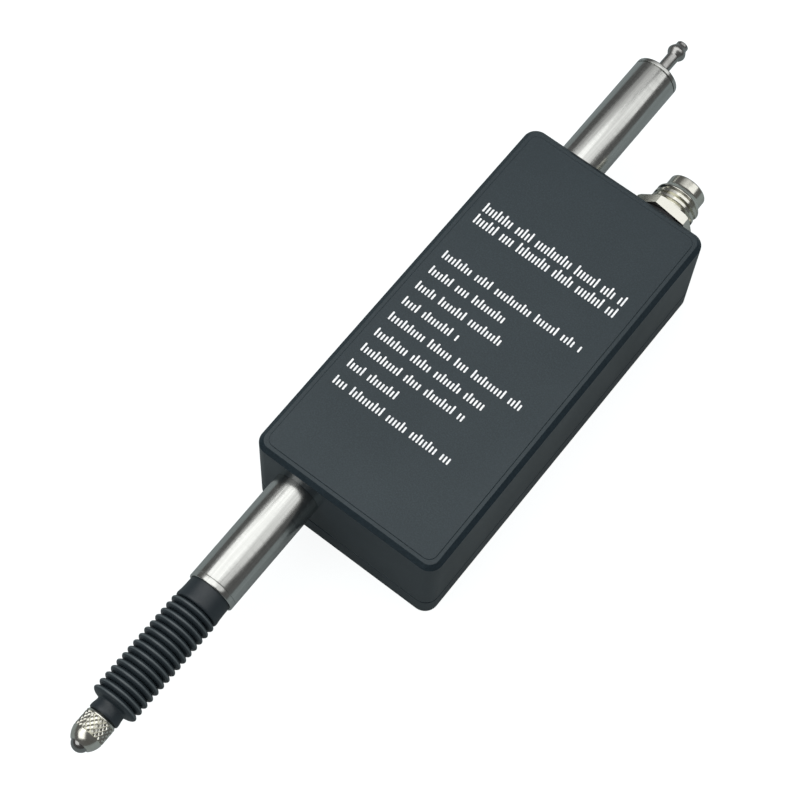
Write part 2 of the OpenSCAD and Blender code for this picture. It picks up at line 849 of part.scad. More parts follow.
// Slotted rail that keeps the spindle from turning
module guide_rail() {
    slot = pin_guide_r + pin_slot_gap;
    color([0.60, 0.60, 0.62])
        difference() {
            translate([-rail_w / 2, rail_front, rail_z])
                cube([rail_w, rail_rear - rail_front, rail_t]);
            translate([-slot, pin_guide_y - stroke - 0.2, rail_z - 1])
                cube([2 * slot, stroke + 0.4, rail_t + 2]);
            for (y = [pin_guide_y - stroke - 0.2, pin_guide_y + 0.2])
                translate([0, y, rail_z - 1])
                    cylinder(r = slot, h = rail_t + 2);
            for (y = rail_screw_y)
                translate([0, y, rail_z - 1]) {
                    cylinder(r = small_r, h = rail_t + 2);
                    cylinder(r = small_head_r, h = head_sink + 1);
                }
        }
}

module rail_screws() {
    color([0.70, 0.70, 0.70])
        for (y = rail_screw_y)
            translate([0, y, rail_z]) {
                cylinder(r = small_head_r, h = head_sink);
                cylinder(r = small_r, h = rail_t + rail_bite - 0.2);
            }
}

// Radius of the bellows' outside at t folds from a crest: round crests, narrow valleys
function wave_r(t) = valley_r + (crest_r - valley_r) * pow(abs(cos(180 * t)), crest_roundness);
crest_roundness = 0.75;
fold_steps = 10;

// Rubber bellows: rear collar, convolutions and front lip
module bellows() {
    outer = [for (i = [0 : folds * fold_steps])
        [wave_r(i / fold_steps - 0.5), fold_start - i * fold_pitch / fold_steps]];
    inner = [for (i = [folds * fold_steps : -1 : 0])
        [wave_r(i / fold_steps - 0.5) - bellows_wall, fold_start - i * fold_pitch / fold_steps]];
    color([0.13, 0.15, 0.17])
        turned(concat(
            [[race_r, collar_seat], [collar_r, collar_seat], [collar_r, -stem_out],
                [crest_r - 0.12, fold_start + 0.35], [crest_r - 0.25, fold_start + 0.12]],
            outer,
            [[lip_r - 0.15, fold_end - 0.2], [lip_r - 0.1, fold_end - 0.5], [lip_r, lip_front + 0.9],
                [lip_r, lip_front + 0.35], [lip_r - 0.3, lip_front], [neck_r, lip_front],
                [neck_r, fold_end + 0.1]],
            inner,
            [[race_r, fold_start + 0.4]]));
}

// Helix of round wire about the stem axis
module spring_wire(r, wire, y0, y1, turns) {
    sides = 6;
    steps = 14 * turns;
    ring = [for (i = [0 : steps], j = [0 : sides - 1])
        let (a = 360 * turns * i / steps, b = 360 * j / sides, q = r + wire * cos(b))
            [q * cos(a), y0 + (y1 - y0) * i / steps + wire * sin(b), q * sin(a)]];
    walls = [for (i = [0 : steps - 1], j = [0 : sides - 1])
        let (k = (j + 1) % sides)
            [i * sides + j, i * sides + k, (i + 1) * sides + k, (i + 1) * sides + j]];
    start = [[for (j = [sides - 1 : -1 : 0]) j]];
    finish = [[for (j = [0 : sides - 1]) steps * sides + j]];
    polyhedron(ring, concat(walls, start, finish), convexity = 10);
}

module return_spring() {
    gap = wire_r + 0.05;
    color([0.70, 0.70, 0.72])
        spring_wire(cage_mid_r, wire_r, gland_rear + gap, piston_front - gap, spring_turns);
}

// Measuring spindle from the tip's thread to the piston's seat
module spindle() {
    color([0.80, 0.80, 0.80])
        difference() {
            turned([[0, tip_base], [neck_r, tip_base], [neck_r, neck_y], [spindle_r, neck_y],
                [spindle_r, piston_front], [rod_r, piston_front], [rod_r, piston_rear + piston_nut_t],
                [0, piston_rear + piston_nut_t]]);
            rod_y(tip_thread_r, tip_base - 1, tip_base + tip_thread_l + 0.5);
        }
}

// Radius of the arc that rounds the nose
nose_drop = tip_r - tip_seat_r;
nose_arc_r = (pow(tip_nose, 2) + pow(nose_drop, 2)) / (2 * nose_drop);
// Lip of the ball seat, and the drilled cone that the ball rests against
seat_lip = 0.03;
drill_half_angle = 59;
drill_apex = tip_ball_r / sin(drill_half_angle);
// Radius of the nose at a distance s in front of the straight part
function nose_r(s) = tip_r - nose_arc_r + sqrt(pow(nose_arc_r, 2) - s * s);

// Contact tip with its thread, and a drilled seat whose lip is closed round the ball
module contact_tip() {
    straight_end = tip_base - tip_straight;
    arc_steps = 10;
    arc = [for (i = [0 : arc_steps])
        [nose_r(tip_nose * i / arc_steps), straight_end - tip_nose * i / arc_steps]];
    color([0.82, 0.81, 0.77])
        turned(concat([[0, tip_base + tip_thread_l], [tip_thread_r, tip_base + tip_thread_l],
            [tip_thread_r, tip_base], [tip_r - 0.28, tip_base], [tip_r, tip_base - 0.35]],
            arc,
            [[tip_ball_r - seat_lip, seat_y], [tip_ball_r, (seat_y + ball_y) / 2],
                [tip_ball_r, ball_y + drill_apex - tip_ball_r / tan(drill_half_angle)],
                [0, ball_y + drill_apex]]));
}

module tip_ball() {
    color([0.55, 0.56, 0.58])
        translate([0, ball_y, 0])
            sphere(r = tip_ball_r);
}

// Ring on the spindle that meets the stem at the end of the stroke
module stop_collar() {
    color([0.60, 0.60, 0.62])
        tube_y(collar_stop_r, spindle_r, collar_stop_y, collar_stop_y + collar_stop_l);
}

// Block on the spindle that carries the scale on a ledge
module scale_carrier() {
    color([0.62, 0.64, 0.67])
        difference() {
            union() {
                translate([-carrier_half, carrier_front, -carrier_h])
                    cube([2 * carrier_half + carrier_floor, carrier_l, 2 * carrier_h]);
                translate([carrier_half, carrier_front, -scale_t / 2 - ledge_t])
                    cube([carrier_floor + ledge_w, carrier_l, ledge_t]);
            }
            rod_y(spindle_r, carrier_front - 1, carrier_front + carrier_l + 1);
            for (y = carrier_screw_y)
                translate([0, y, 0])
                    cylinder(r = grub_r, h = carrier_h + 1);
            translate([0, pin_guide_y, 0])
                cylinder(r = pin_guide_r, h = carrier_h + 1);
        }
}

module carrier_screws() {
    color([0.35, 0.35, 0.37])
        for (y = carrier_screw_y)
            translate([0, y, spindle_r])
                difference() {
                    cylinder(r = grub_r, h = carrier_h - spindle_r - 0.1);
                    translate([0, 0, (carrier_h - spindle_r) / 3])
                        cylinder(r = grub_socket_r, h = carrier_h, $fn = 6);
                }
}

module glass_scale() {
    color([0.75, 0.86, 0.88, 0.6])
        translate([scale_x, scale_y, -scale_t / 2])
            cube([scale_w, scale_l, scale_t]);
}

module anti_rotation_pin() {
    color([0.82, 0.82, 0.82])
        translate([0, pin_guide_y, spindle_r])
            cylinder(r = pin_guide_r, h = ceiling_z - 0.2 - spindle_r);
}

module piston() {
    groove = (piston_front + piston_rear) / 2;
    color([0.72, 0.60, 0.34])
        difference() {
            tube_y(cyl_bore_r - 0.08, rod_r, piston_front, piston_rear);
            tube_y(cyl_bore_r + 1, seal_groove_r, groove - seal_groove_w / 2, groove + seal_groove_w / 2);
        }
}

module piston_seal() {
    groove = (piston_front + piston_rear) / 2;
    half = seal_groove_w / 2 - 0.05;
    color([0.06, 0.06, 0.06])
        tube_y(cyl_bore_r - 0.02, seal_groove_r, groove - half, groove + half);
}

module piston_nut() {
    color([0.72, 0.72, 0.72])
        difference() {
            translate([0, piston_rear, 0])
                rotate([-90, 0, 0])
                    cylinder(r = 2.1, h = piston_nut_t - 0.1, $fn = 6);
            rod_y(rod_r, piston_rear - 1, piston_rear + piston_nut_t + 1);
        }
}

// Places a child at each ball: rings along Y, staggered by half a step
module at_balls() {
    for (k = [0 : ball_rings - 1], i = [0 : balls_per_ring - 1])
        translate([0, cage_front + cage_end + k * ring_pitch, 0])
            rotate([0, (i + 0.5 * (k % 2)) * 360 / balls_per_ring, 0])
                translate([0, 0, cage_mid_r])
                    children();
}

module ball_cage() {
    color([0.72, 0.58, 0.30])
        difference() {
            tube_y(cage_mid_r + cage_wall / 2, cage_mid_r - cage_wall / 2, cage_front, cage_rear);
            at_balls()
                cylinder(r = ball_r + 0.03, h = 2, center = true);
        }
}

module bearing_balls() {
    color([0.85, 0.85, 0.86])
        at_balls()
            sphere(r = ball_r, $fn = 24);
}

housing();
face_panel();
bottom_cover();
cover_gasket();
cover_screws();
front_stem();
stem_end_ring();
guide_bush();
stem_clip();
rear_cylinder();
cylinder_clip();
cylinder_gland();
cylinder_end_cap();
cap_seal();
air_nipple();
connector_shell();
connector_seal();
connector_nut();
connector_insert();
connector_pins();
main_board();
board_screws();
board_chips();
wire_header();
signal_wires();
read_head_bracket();
bracket_screws();
light_source();
index_grating();
photo_detector();
guide_rail();
rail_screws();
bellows();
return_spring();
spindle();
contact_tip();
tip_ball();
stop_collar();
scale_carrier();
glass_scale();
carrier_screws();
anti_rotation_pin();
piston();
piston_seal();
piston_nut();
ball_cage();
bearing_balls();
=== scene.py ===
"""Looks of a grating displacement sensor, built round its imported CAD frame.

The pieces' lengths are in millimetres in the CAD frame, and `MM` turns them into metres: the origin lies
on the stem's axis where it leaves the case, the contact tip points to -Y and the marked face to +Z. The
studio's lengths are in metres.
"""

import json
import logging
import math
from abc import ABC, abstractmethod
from collections.abc import Callable, Iterator, Mapping, Sequence
from contextlib import contextmanager
from dataclasses import dataclass, field
from enum import Enum

import bmesh
import bpy
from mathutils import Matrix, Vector


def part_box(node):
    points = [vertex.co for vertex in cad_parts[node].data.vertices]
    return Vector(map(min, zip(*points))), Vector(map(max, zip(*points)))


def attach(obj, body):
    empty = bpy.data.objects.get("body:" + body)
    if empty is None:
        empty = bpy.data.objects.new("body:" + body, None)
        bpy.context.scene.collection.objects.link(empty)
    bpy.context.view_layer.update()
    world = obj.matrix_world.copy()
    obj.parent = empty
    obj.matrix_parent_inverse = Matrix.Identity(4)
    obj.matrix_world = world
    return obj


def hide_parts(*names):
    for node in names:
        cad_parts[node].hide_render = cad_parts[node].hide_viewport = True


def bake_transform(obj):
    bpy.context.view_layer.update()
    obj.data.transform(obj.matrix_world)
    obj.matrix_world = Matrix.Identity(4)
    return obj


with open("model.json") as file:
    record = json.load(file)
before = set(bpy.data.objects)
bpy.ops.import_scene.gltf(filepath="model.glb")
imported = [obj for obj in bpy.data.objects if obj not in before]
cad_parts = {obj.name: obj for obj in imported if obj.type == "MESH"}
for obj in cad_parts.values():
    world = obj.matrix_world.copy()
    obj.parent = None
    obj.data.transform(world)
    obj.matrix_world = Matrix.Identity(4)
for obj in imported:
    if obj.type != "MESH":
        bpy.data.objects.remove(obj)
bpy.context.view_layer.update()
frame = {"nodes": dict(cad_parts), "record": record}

log = logging.getLogger("sensor")

MM = 0.001
# Points that lie closer together than this are one point
WELD = 0.0005 * MM
# Share of a side that the rounding of its corner may take
ROUNDED_SHARE = 0.49

Point = tuple[float, float]
Corner = tuple[float, float, float]
Outline = Sequence[Point | Corner]
Colour = tuple[float, float, float]
Piece = bpy.types.Object
Socket = bpy.types.NodeSocket


class Body(Enum):
    """Bodies of the frame that pieces ride on."""

    CASE = "case"
    SPINDLE = "spindle_set"


class Element(Enum):
    """Elements of a mesh, with Blender's name of the mode that selects them."""

    POINT = "VERT"
    EDGE = "EDGE"


# Modelling by operators, as by hand


def deselect_all() -> None:
    """Leaves edit mode and deselects every object."""
    if bpy.context.object and bpy.context.object.mode != "OBJECT":
        bpy.ops.object.mode_set(mode="OBJECT")
    bpy.ops.object.select_all(action="DESELECT")


def activate(obj: Piece) -> None:
    """Makes one object the only selected and the active one."""
    deselect_all()
    obj.select_set(True)
    bpy.context.view_layer.objects.active = obj


@contextmanager
def edit_mode(obj: Piece) -> Iterator[None]:
    """Opens an object in edit mode with its whole mesh selected, and closes it again."""
    activate(obj)
    bpy.ops.object.mode_set(mode="EDIT")
    bpy.ops.mesh.select_mode(type="VERT")
    bpy.ops.mesh.select_all(action="SELECT")
    yield
    bpy.ops.object.mode_set(mode="OBJECT")


def select_where(obj: Piece, element: Element, wanted: Callable[..., bool]) -> int:
    """Selects the points or the edges of the mesh in edit mode that pass a test.

    Args:
        obj: the object in edit mode.
        element: what is tested and selected.
        wanted: the test of one point or edge.

    Returns:
        How many were selected.
    """
    bpy.ops.mesh.select_mode(type=element.value)
    bpy.ops.mesh.select_all(action="DESELECT")
    mesh = bmesh.from_edit_mesh(obj.data)
    found = [item for item in (mesh.verts if element is Element.POINT else mesh.edges) if wanted(item)]
    for item in found:
        item.select_set(True)
    mesh.select_flush_mode()
    bmesh.update_edit_mesh(obj.data)
    return len(found)


def face_outwards() -> None:
    """Selects the whole mesh in edit mode and turns its faces outwards."""
    bpy.ops.mesh.select_all(action="SELECT")
    bpy.ops.mesh.normals_make_consistent(inside=False)


def finish_modifier(obj: Piece, kind: str, **settings: object) -> None:
    """Adds a modifier with its settings and applies it.

    Args:
        obj: the object to modify.
        kind: the modifier's type.
        **settings: the modifier's properties.
    """
    activate(obj)
    modifier = obj.modifiers.new(kind.lower(), kind)
    for key, value in settings.items():
        setattr(modifier, key, value)
    bpy.ops.object.modifier_apply(modifier=modifier.name)


def shade(obj: Piece, angle: float = 30.0, weighted: bool = False) -> Piece:
    """Shades a piece smooth where its faces meet at less than an angle.

    Args:
        obj: the piece.
        angle: the angle in degrees.
        weighted: whether large faces keep their flat look beside narrow bevels.

    Returns:
        The piece.
    """
    activate(obj)
    bpy.ops.object.shade_smooth_by_angle(angle=math.radians(angle))
    if weighted:
        finish_modifier(obj, "WEIGHTED_NORMAL", keep_sharp=True, weight=90)
    return obj


def joined(name: str, parts: Sequence[Piece]) -> Piece:
    """Joins objects into the first of them.

    Args:
        name: name of the result.
        parts: the objects, all at the origin.

    Returns:
        The joined object.
    """
    activate(parts[0])
    for part in parts[1:]:
        part.select_set(True)
    bpy.ops.object.join()
    parts[0].name = parts[0].data.name = name
    return parts[0]


def settle() -> None:
    """Puts the place, turn and scale of the selected objects into their meshes."""
    bpy.ops.object.transform_apply(location=True, rotation=True, scale=True)


def rounded(corners: Outline, steps: int = 4) -> list[Point]:
    """Rounds the soft corners of an outline.

    Args:
        corners: (radius, y) of each sharp corner and (radius, y, rounding) of each soft one; the ends of
            an open outline are sharp.
        steps: points on each rounded corner, less one.

    Returns:
        The outline's points.
    """
    points: list[Point] = []
    for i, (r, y, *soft) in enumerate(corners):
        at = Vector((r, y))
        if not soft:
            points.append((r, y))
            continue
        back = Vector(corners[i - 1][:2]) - at
        ahead = Vector(corners[(i + 1) % len(corners)][:2]) - at
        reach = min(*soft, ROUNDED_SHARE * back.length, ROUNDED_SHARE * ahead.length)
        start, end = at + back.normalized() * reach, at + ahead.normalized() * reach
        for k in range(steps + 1):
            t = k / steps
            p = start * (1 - t) ** 2 + at * (2 * t * (1 - t)) + end * t * t
            points.append((p.x, p.y))
    return points


def added(add: Callable[..., object], name: str, **settings: object) -> Piece:
    """Adds an object by one of Blender's operators, and names it and its data.

    Args:
        add: the operator.
        name: name of the object.
        **settings: the operator's settings.

    Returns:
        The object.
    """
    deselect_all()
    add(**settings)
    obj = bpy.context.object
    obj.name = obj.data.name = name
    return obj


def drawn(name: str, path: Sequence[Vector]) -> Piece:
    """Draws a path from point to point.

    Args:
        name: name of the object.
        path: the points in metres; a closed path ends where it starts.

    Returns:
        The path, as edges alone.
    """
    obj = added(bpy.ops.mesh.primitive_plane_add, name, size=MM)
    with edit_mode(obj):
        bpy.ops.mesh.merge(type="CENTER")
        bpy.ops.transform.translate(value=path[0])
        for here, there in zip(path, path[1:]):
            bpy.ops.mesh.extrude_vertices_move(TRANSFORM_OT_translate={"value": there - here})
        bpy.ops.mesh.select_all(action="SELECT")
        bpy.ops.mesh.remove_doubles(threshold=WELD)
    return obj


def turned(
    name: str, corners: Outline, centre_x: float = 0.0, segments: int = 128, closed: bool = True
) -> Piece:
    """Turns an outline round an axis along Y, as on a lathe.

    Args:
        name: name of the object.
        corners: the outline's corners, as `rounded` takes them.
        centre_x: X of the axis.
        segments: steps round the axis.
        closed: whether the last corner leads back to the first; an outline from axis to axis stays open.

    Returns:
        The turned solid.
    """
    path = [Vector((centre_x + r, y, 0.0)) * MM for r, y in rounded(corners)]
    obj = drawn(name, path + path[:1] if closed else path)
    with edit_mode(obj):
        bpy.ops.mesh.spin(
            steps=segments, dupli=False, angle=2 * math.pi, use_auto_merge=True,
            center=(centre_x * MM, 0.0, 0.0), axis=(0.0, 1.0, 0.0),
        )
    with edit_mode(obj):
        bpy.ops.mesh.remove_doubles(threshold=WELD)
        bpy.ops.mesh.dissolve_degenerate(threshold=WELD)
        face_outwards()
    return obj


def cad_copy(node: str, name: str) -> Piece:
    """Copies a CAD node's mesh as clean faces with its loose triangles merged.

    Args:
        node: the CAD node.
        name: name of the copy.

    Returns:
        The copy, at the node's place.
    """
    obj = bpy.data.objects.new(name, frame["nodes"][node].data.copy())
    obj.data.name = name
    bpy.context.scene.collection.objects.link(obj)
    activate(obj)
    bpy.ops.mesh.customdata_custom_splitnormals_clear()
    with edit_mode(obj):
        bpy.ops.mesh.remove_doubles(threshold=WELD)
        bpy.ops.mesh.dissolve_limited(angle_limit=math.radians(0.3), use_dissolve_boundaries=False)
    return obj


# Finishes of the metals, coats, rubber and print

# Where most values of a noise lie
NOISE_SPAN: Point = (0.3, 0.7)


def dimmed(colour: Colour, share: float) -> Colour:
    """Gives a share of a colour."""
    return tuple(share * channel for channel in colour)


class NodeBench:
    """The node tree of a material or a world that is being laid out."""

    def __init__(self, owner: bpy.types.ID, output: str = "ShaderNodeOutputMaterial") -> None:
        """Empties the owner's tree and adds its output."""
        owner.use_nodes = True
        self.tree = owner.node_tree
        self.tree.nodes.clear()
        self.output = self.add(output)

    def add(
        self, kind: str, sockets: Mapping[str | int, object] | None = None, **properties: object
    ) -> bpy.types.Node:
        """Adds a node, sets its properties and feeds its sockets.

        Args:
            kind: the node's type.
            sockets: what each input gets, by its name or number.
            **properties: the node's properties.

        Returns:
            The node.
        """
        node = self.tree.nodes.new(kind)
        for key, value in properties.items():
            setattr(node, key, value)
        for key, value in (sockets or {}).items():
            self.feed(node.inputs[key], value)
        return node

    def feed(self, target: Socket, value: object) -> None:
        """Links an input to a socket, or sets it to a number, a vector or a colour."""
        if isinstance(value, bpy.types.NodeSocket):
            self.tree.links.new(value, target)
        else:
            target.default_value = (*value, 1.0) if target.type == "RGBA" else value

    def show(self, shader: bpy.types.Node) -> None:
        """Sends a shader to the output."""
        self.feed(self.output.inputs["Surface"], shader.outputs[0])

    def place(self, scale: Corner = (1.0, 1.0, 1.0)) -> Socket:
        """Gives the object's own coordinates, stretched by a scale."""
        own = self.add("ShaderNodeTexCoord").outputs["Object"]
        return self.add("ShaderNodeMapping", {"Vector": own, "Scale": scale}).outputs["Vector"]

    def noise(
        self, scale: float, stretch: Corner = (1.0, 1.0, 1.0), detail: float = 2.0, rough: float = 0.5
    ) -> Socket:
        """Gives a noise over the object, from 0 to 1.

        Args:
            scale: cells in a metre.
            stretch: factor along each axis.
            detail: layers of finer noise.
            rough: weight of the finer layers.

        Returns:
            The noise's value.
        """
        return self.add("ShaderNodeTexNoise", {
            "Vector": self.place(stretch), "Scale": scale, "Detail": detail, "Roughness": rough,
        }).outputs["Fac"]

    def ranged(self, value: Socket, span: Point, onto: Point = (0.0, 1.0)) -> Socket:
        """Maps a value from one range onto another."""
        return self.add("ShaderNodeMapRange", {
            "Value": value, "From Min": span[0], "From Max": span[1], "To Min": onto[0], "To Max": onto[1],
        }).outputs["Result"]

    def mixed(self, share: Socket, first: Colour, second: Colour) -> Socket:
        """Mixes two colours by a share from 0 to 1."""
        colours = {"Factor": share, "A": first, "B": second}
        return self.add("ShaderNodeMix", colours, data_type="RGBA").outputs["Result"]

    def calculated(self, operation: str, *values: Socket | float) -> Socket:
        """Combines sockets and numbers by an operation."""
        return self.add("ShaderNodeMath", dict(enumerate(values)), operation=operation).outputs["Value"]

    def relief(self, height: Socket, strength: float, depth: float) -> Socket:
        """Turns a height into a bent normal.

        Args:
            height: the height, from 0 to 1.
            strength: share of the effect.
            depth: depth in mm of a height of 1.

        Returns:
            The normal.
        """
        bump = {"Height": height, "Strength": strength, "Distance": depth * MM}
        return self.add("ShaderNodeBump", bump).outputs["Normal"]

    def surface(self, **sockets: object) -> None:
        """Adds the shader, with each socket set to a value or linked, and sends it to the output."""
        named = {key.replace("_", " ").title().replace("Ior", "IOR"): value for key, value in sockets.items()}
        self.show(self.add("ShaderNodeBsdfPrincipled", named))


@dataclass(frozen=True)
class Finish(ABC):
    """A surface finish, named after the record's material slot that it dresses."""

    name: str
    slot: str | None

    def material(self) -> bpy.types.Material:
        """Gives the finish's material, laid out at its first use."""
        if self not in LAID_OUT:
            LAID_OUT[self] = bpy.data.materials.new(f"{self.name}_finish")
            self.lay_out(NodeBench(LAID_OUT[self]))
        return LAID_OUT[self]

    @abstractmethod
    def lay_out(self, bench: NodeBench) -> None:
        """Lays out the finish's nodes."""


LAID_OUT: dict[Finish, bpy.types.Material] = {}


@dataclass(frozen=True)
class SatinCoat(Finish):
    """Dark coat of the case: fine speckle, faint clouds and a soft shine."""

    base: Colour = (0.005, 0.0115, 0.0165)
    fleck: Colour = (0.013, 0.023, 0.031)
    shine: Colour = (0.86, 0.945, 0.955)
    roughness: Point = (0.3, 0.38)
    fleck_span: Point = (0.42, 0.72)

    def lay_out(self, bench: NodeBench) -> None:
        """Speckles the colour and the relief with one grain, and the shine with slow clouds."""
        grain = bench.noise(scale=4600.0, detail=4.0, rough=0.65)
        clouds = bench.noise(scale=60.0)
        bench.surface(
            base_color=bench.mixed(bench.ranged(grain, self.fleck_span), self.base, self.fleck),
            roughness=bench.ranged(clouds, NOISE_SPAN, self.roughness),
            normal=bench.relief(grain, strength=0.5, depth=0.012),
            specular_tint=self.shine,
        )


@dataclass(frozen=True)
class GroundSteel(Finish):
    """Bright steel with fine grinding marks round the axis and faint streaks along it."""

    tint: Colour = (0.630, 0.638, 0.615)
    roughness: Point = (0.15, 0.25)
    streak_share: float = 0.87
    streak_span: Point = (0.35, 0.65)

    def lay_out(self, bench: NodeBench) -> None:
        """Darkens the tint by streaks, and varies the shine and the relief by rings."""
        rings = bench.noise(scale=2600.0, stretch=(0.05, 1.0, 0.05), detail=3.0, rough=0.7)
        streaks = bench.noise(scale=2000.0, stretch=(1.0, 0.025, 1.0), detail=4.0)
        streak_tint = dimmed(self.tint, self.streak_share)
        bench.surface(
            base_color=bench.mixed(bench.ranged(streaks, self.streak_span), streak_tint, self.tint),
            metallic=1.0,
            roughness=bench.ranged(rings, NOISE_SPAN, self.roughness),
            normal=bench.relief(rings, strength=0.35, depth=0.004),
        )


@dataclass(frozen=True)
class PlatedMetal(Finish):
    """Plated or turned metal with turning rings and slight stains."""

    tint: Colour = (0.76, 0.755, 0.685)
    stain: Colour = (0.60, 0.58, 0.50)
    roughness: Point = (0.13, 0.25)
    ring_depth: float = 0.004
    stain_span: Point = (0.55, 0.85)
    dull_span: Point = (0.3, 0.8)

    def lay_out(self, bench: NodeBench) -> None:
        """Stains the colour and the shine in patches and cuts fine rings round the axis."""
        patches = bench.noise(scale=420.0, detail=3.0)
        rings = bench.noise(scale=3400.0, stretch=(0.04, 1.0, 0.04))
        bench.surface(
            base_color=bench.mixed(bench.ranged(patches, self.stain_span), self.tint, self.stain),
            metallic=1.0,
            roughness=bench.ranged(patches, self.dull_span, self.roughness),
            normal=bench.relief(rings, strength=0.3, depth=self.ring_depth),
        )


@dataclass(frozen=True)
class MouldedRubber(Finish):
    """Rubber with a fine matt skin, paler on the outermost rims: partly wear, partly a painted highlight
    along each crest.
    """

    base: Colour = (0.0135, 0.0205, 0.0255)
    wear_and_highlight: Colour = (0.090, 0.110, 0.116)
    roughness: Point = (0.36, 0.48)
    rim: Point = (3.86, 3.96)

    def lay_out(self, bench: NodeBench) -> None:
        """Pales the colour near the crests by the distance from the stem's axis, as wear and painted
        highlight, and grains the skin.
        """
        across = bench.place((1.0, 0.0, 1.0))
        radius = bench.add("ShaderNodeVectorMath", {0: across}, operation="LENGTH").outputs["Value"]
        # Paler crest rims: partly wear, partly a painted highlight for the light line that each crest
        # catches.
        wear_and_highlight_share = bench.ranged(radius, (self.rim[0] * MM, self.rim[1] * MM))
        skin = bench.noise(scale=5200.0, detail=3.0)
        bench.surface(
            base_color=bench.mixed(wear_and_highlight_share, self.base, self.wear_and_highlight),
            roughness=bench.ranged(skin, NOISE_SPAN, self.roughness),
            normal=bench.relief(skin, strength=0.35, depth=0.01),
        )


@dataclass(frozen=True)
class MouldedPlastic(Finish):
    """Plain moulded plastic or lacquer with a fine grain."""

    base: Colour = (0.03, 0.03, 0.033)
    roughness: Point = (0.4, 0.5)
    shade_share: float = 0.82

    def lay_out(self, bench: NodeBench) -> None:
        """Shades the colour slowly and grains the skin."""
        slow = bench.noise(scale=300.0)
        skin = bench.noise(scale=4000.0)
        bench.surface(
            base_color=bench.mixed(slow, dimmed(self.base, self.shade_share), self.base),
            roughness=bench.ranged(skin, NOISE_SPAN, self.roughness),
            normal=bench.relief(skin, strength=0.25, depth=0.006),
        )


@dataclass(frozen=True)
class BoardLaminate(Finish):
    """Green board lacquer with the weave of the laminate just showing."""

    base: Colour = (0.03, 0.14, 0.06)
    thread: Colour = (0.045, 0.18, 0.08)
    weave: float = 900.0

    def lay_out(self, bench: NodeBench) -> None:
        """Crosses two wave patterns into a weave."""
        threads = {"Vector": bench.place(), "Scale": self.weave}
        waves = (bench.add("ShaderNodeTexWave", threads, bands_direction=axis) for axis in ("X", "Y"))
        weave = bench.calculated("MULTIPLY", *(wave.outputs["Fac"] for wave in waves))
        bench.surface(
            base_color=bench.mixed(weave, self.base, self.thread),
            roughness=0.32,
            normal=bench.relief(weave, strength=0.2, depth=0.01),
        )


@dataclass(frozen=True)
class OpticGlass(Finish):
    """Polished glass with a faint cool tint."""

    tint: Colour = (0.88, 0.95, 0.96)
    roughness: Point = (0.01, 0.05)
    haze_span: Point = (0.3, 0.8)

    def lay_out(self, bench: NodeBench) -> None:
        """Clouds the polish a little."""
        haze = bench.noise(scale=700.0)
        bench.surface(
            base_color=self.tint,
            transmission_weight=1.0,
            roughness=bench.ranged(haze, self.haze_span, self.roughness),
            ior=1.52,
        )


@dataclass(frozen=True)
class PrintEnamel(Finish):
    """White screen-print enamel, slightly uneven in cover."""

    base: Colour = (0.80, 0.81, 0.81)
    thin: Colour = (0.62, 0.64, 0.66)
    thin_span: Point = (0.35, 0.6)

    def lay_out(self, bench: NodeBench) -> None:
        """Thins the cover in small patches."""
        cover = bench.ranged(bench.noise(scale=2600.0), self.thin_span)
        bench.surface(base_color=bench.mixed(cover, self.thin, self.base), roughness=0.55)


CASE_COAT = SatinCoat("case_coat", "case_metal")
PANEL_COAT = SatinCoat("panel_coat", "panel_paint")
STEEL = GroundSteel("ground_steel", "ground_steel")
SCREW_STEEL = GroundSteel("screw_steel", "screw_steel", (0.42, 0.42, 0.43), (0.25, 0.35))
DARK_STEEL = GroundSteel("dark_steel", "dark_steel", (0.16, 0.16, 0.17), (0.3, 0.4))
NICKEL = PlatedMetal("nickel_plate", "nickel")
DULL_NICKEL = PlatedMetal("dull_nickel", "nickel", (0.44, 0.44, 0.43), (0.33, 0.33, 0.31), (0.24, 0.36))
BRASS = PlatedMetal("turned_brass", "brass", (0.60, 0.42, 0.16), (0.42, 0.28, 0.10), (0.24, 0.36))
GOLD = PlatedMetal("gold_plate", "gold_pins", (0.78, 0.56, 0.18), (0.66, 0.45, 0.14), (0.16, 0.28))
LIGHT_ALLOY = PlatedMetal("light_alloy", "light_alloy", (0.60, 0.62, 0.65), (0.50, 0.52, 0.55), (0.31, 0.43))
# Carbide's own dark grey, darkened further as painted shade that stands in for the ball's dark reflection.
CARBIDE_AND_SHADE = PlatedMetal("carbide", "carbide", (0.36, 0.36, 0.35), (0.31, 0.31, 0.30), (0.1, 0.22), 0.0)
BELLOWS_RUBBER = MouldedRubber("bellows_rubber", "bellows_rubber")
# Near-black seal: black rubber, darkened further as painted shade for the gap between the case and the
# hexagon.
SEAL_RUBBER_AND_SHADE = MouldedPlastic("seal_rubber", "seal_rubber", (0.008, 0.008, 0.009), (0.6, 0.7))
BLACK_PLASTIC = MouldedPlastic("black_plastic", "black_plastic")
CREAM_PLASTIC = MouldedPlastic("cream_plastic", "cream_plastic", (0.72, 0.68, 0.55), (0.35, 0.45))
LEAD_SLEEVE = MouldedPlastic("lead_sleeve", "lead_sleeve", (0.32, 0.16, 0.08), (0.35, 0.45))
BOARD = BoardLaminate("board_laminate", "board_green")
GLASS = OpticGlass("optic_glass", "optic_glass")
PRINT = PrintEnamel("print_enamel", None)

SLOT_FINISH: dict[str, Finish] = {
    finish.slot: finish
    for finish in (
        CASE_COAT, PANEL_COAT, STEEL, NICKEL, BELLOWS_RUBBER, SEAL_RUBBER_AND_SHADE, SCREW_STEEL, DARK_STEEL, BRASS,
        GOLD, LIGHT_ALLOY, BLACK_PLASTIC, CREAM_PLASTIC, LEAD_SLEEVE, BOARD, GLASS, CARBIDE_AND_SHADE,
    )
}


# Sub-assemblies, from the case outwards


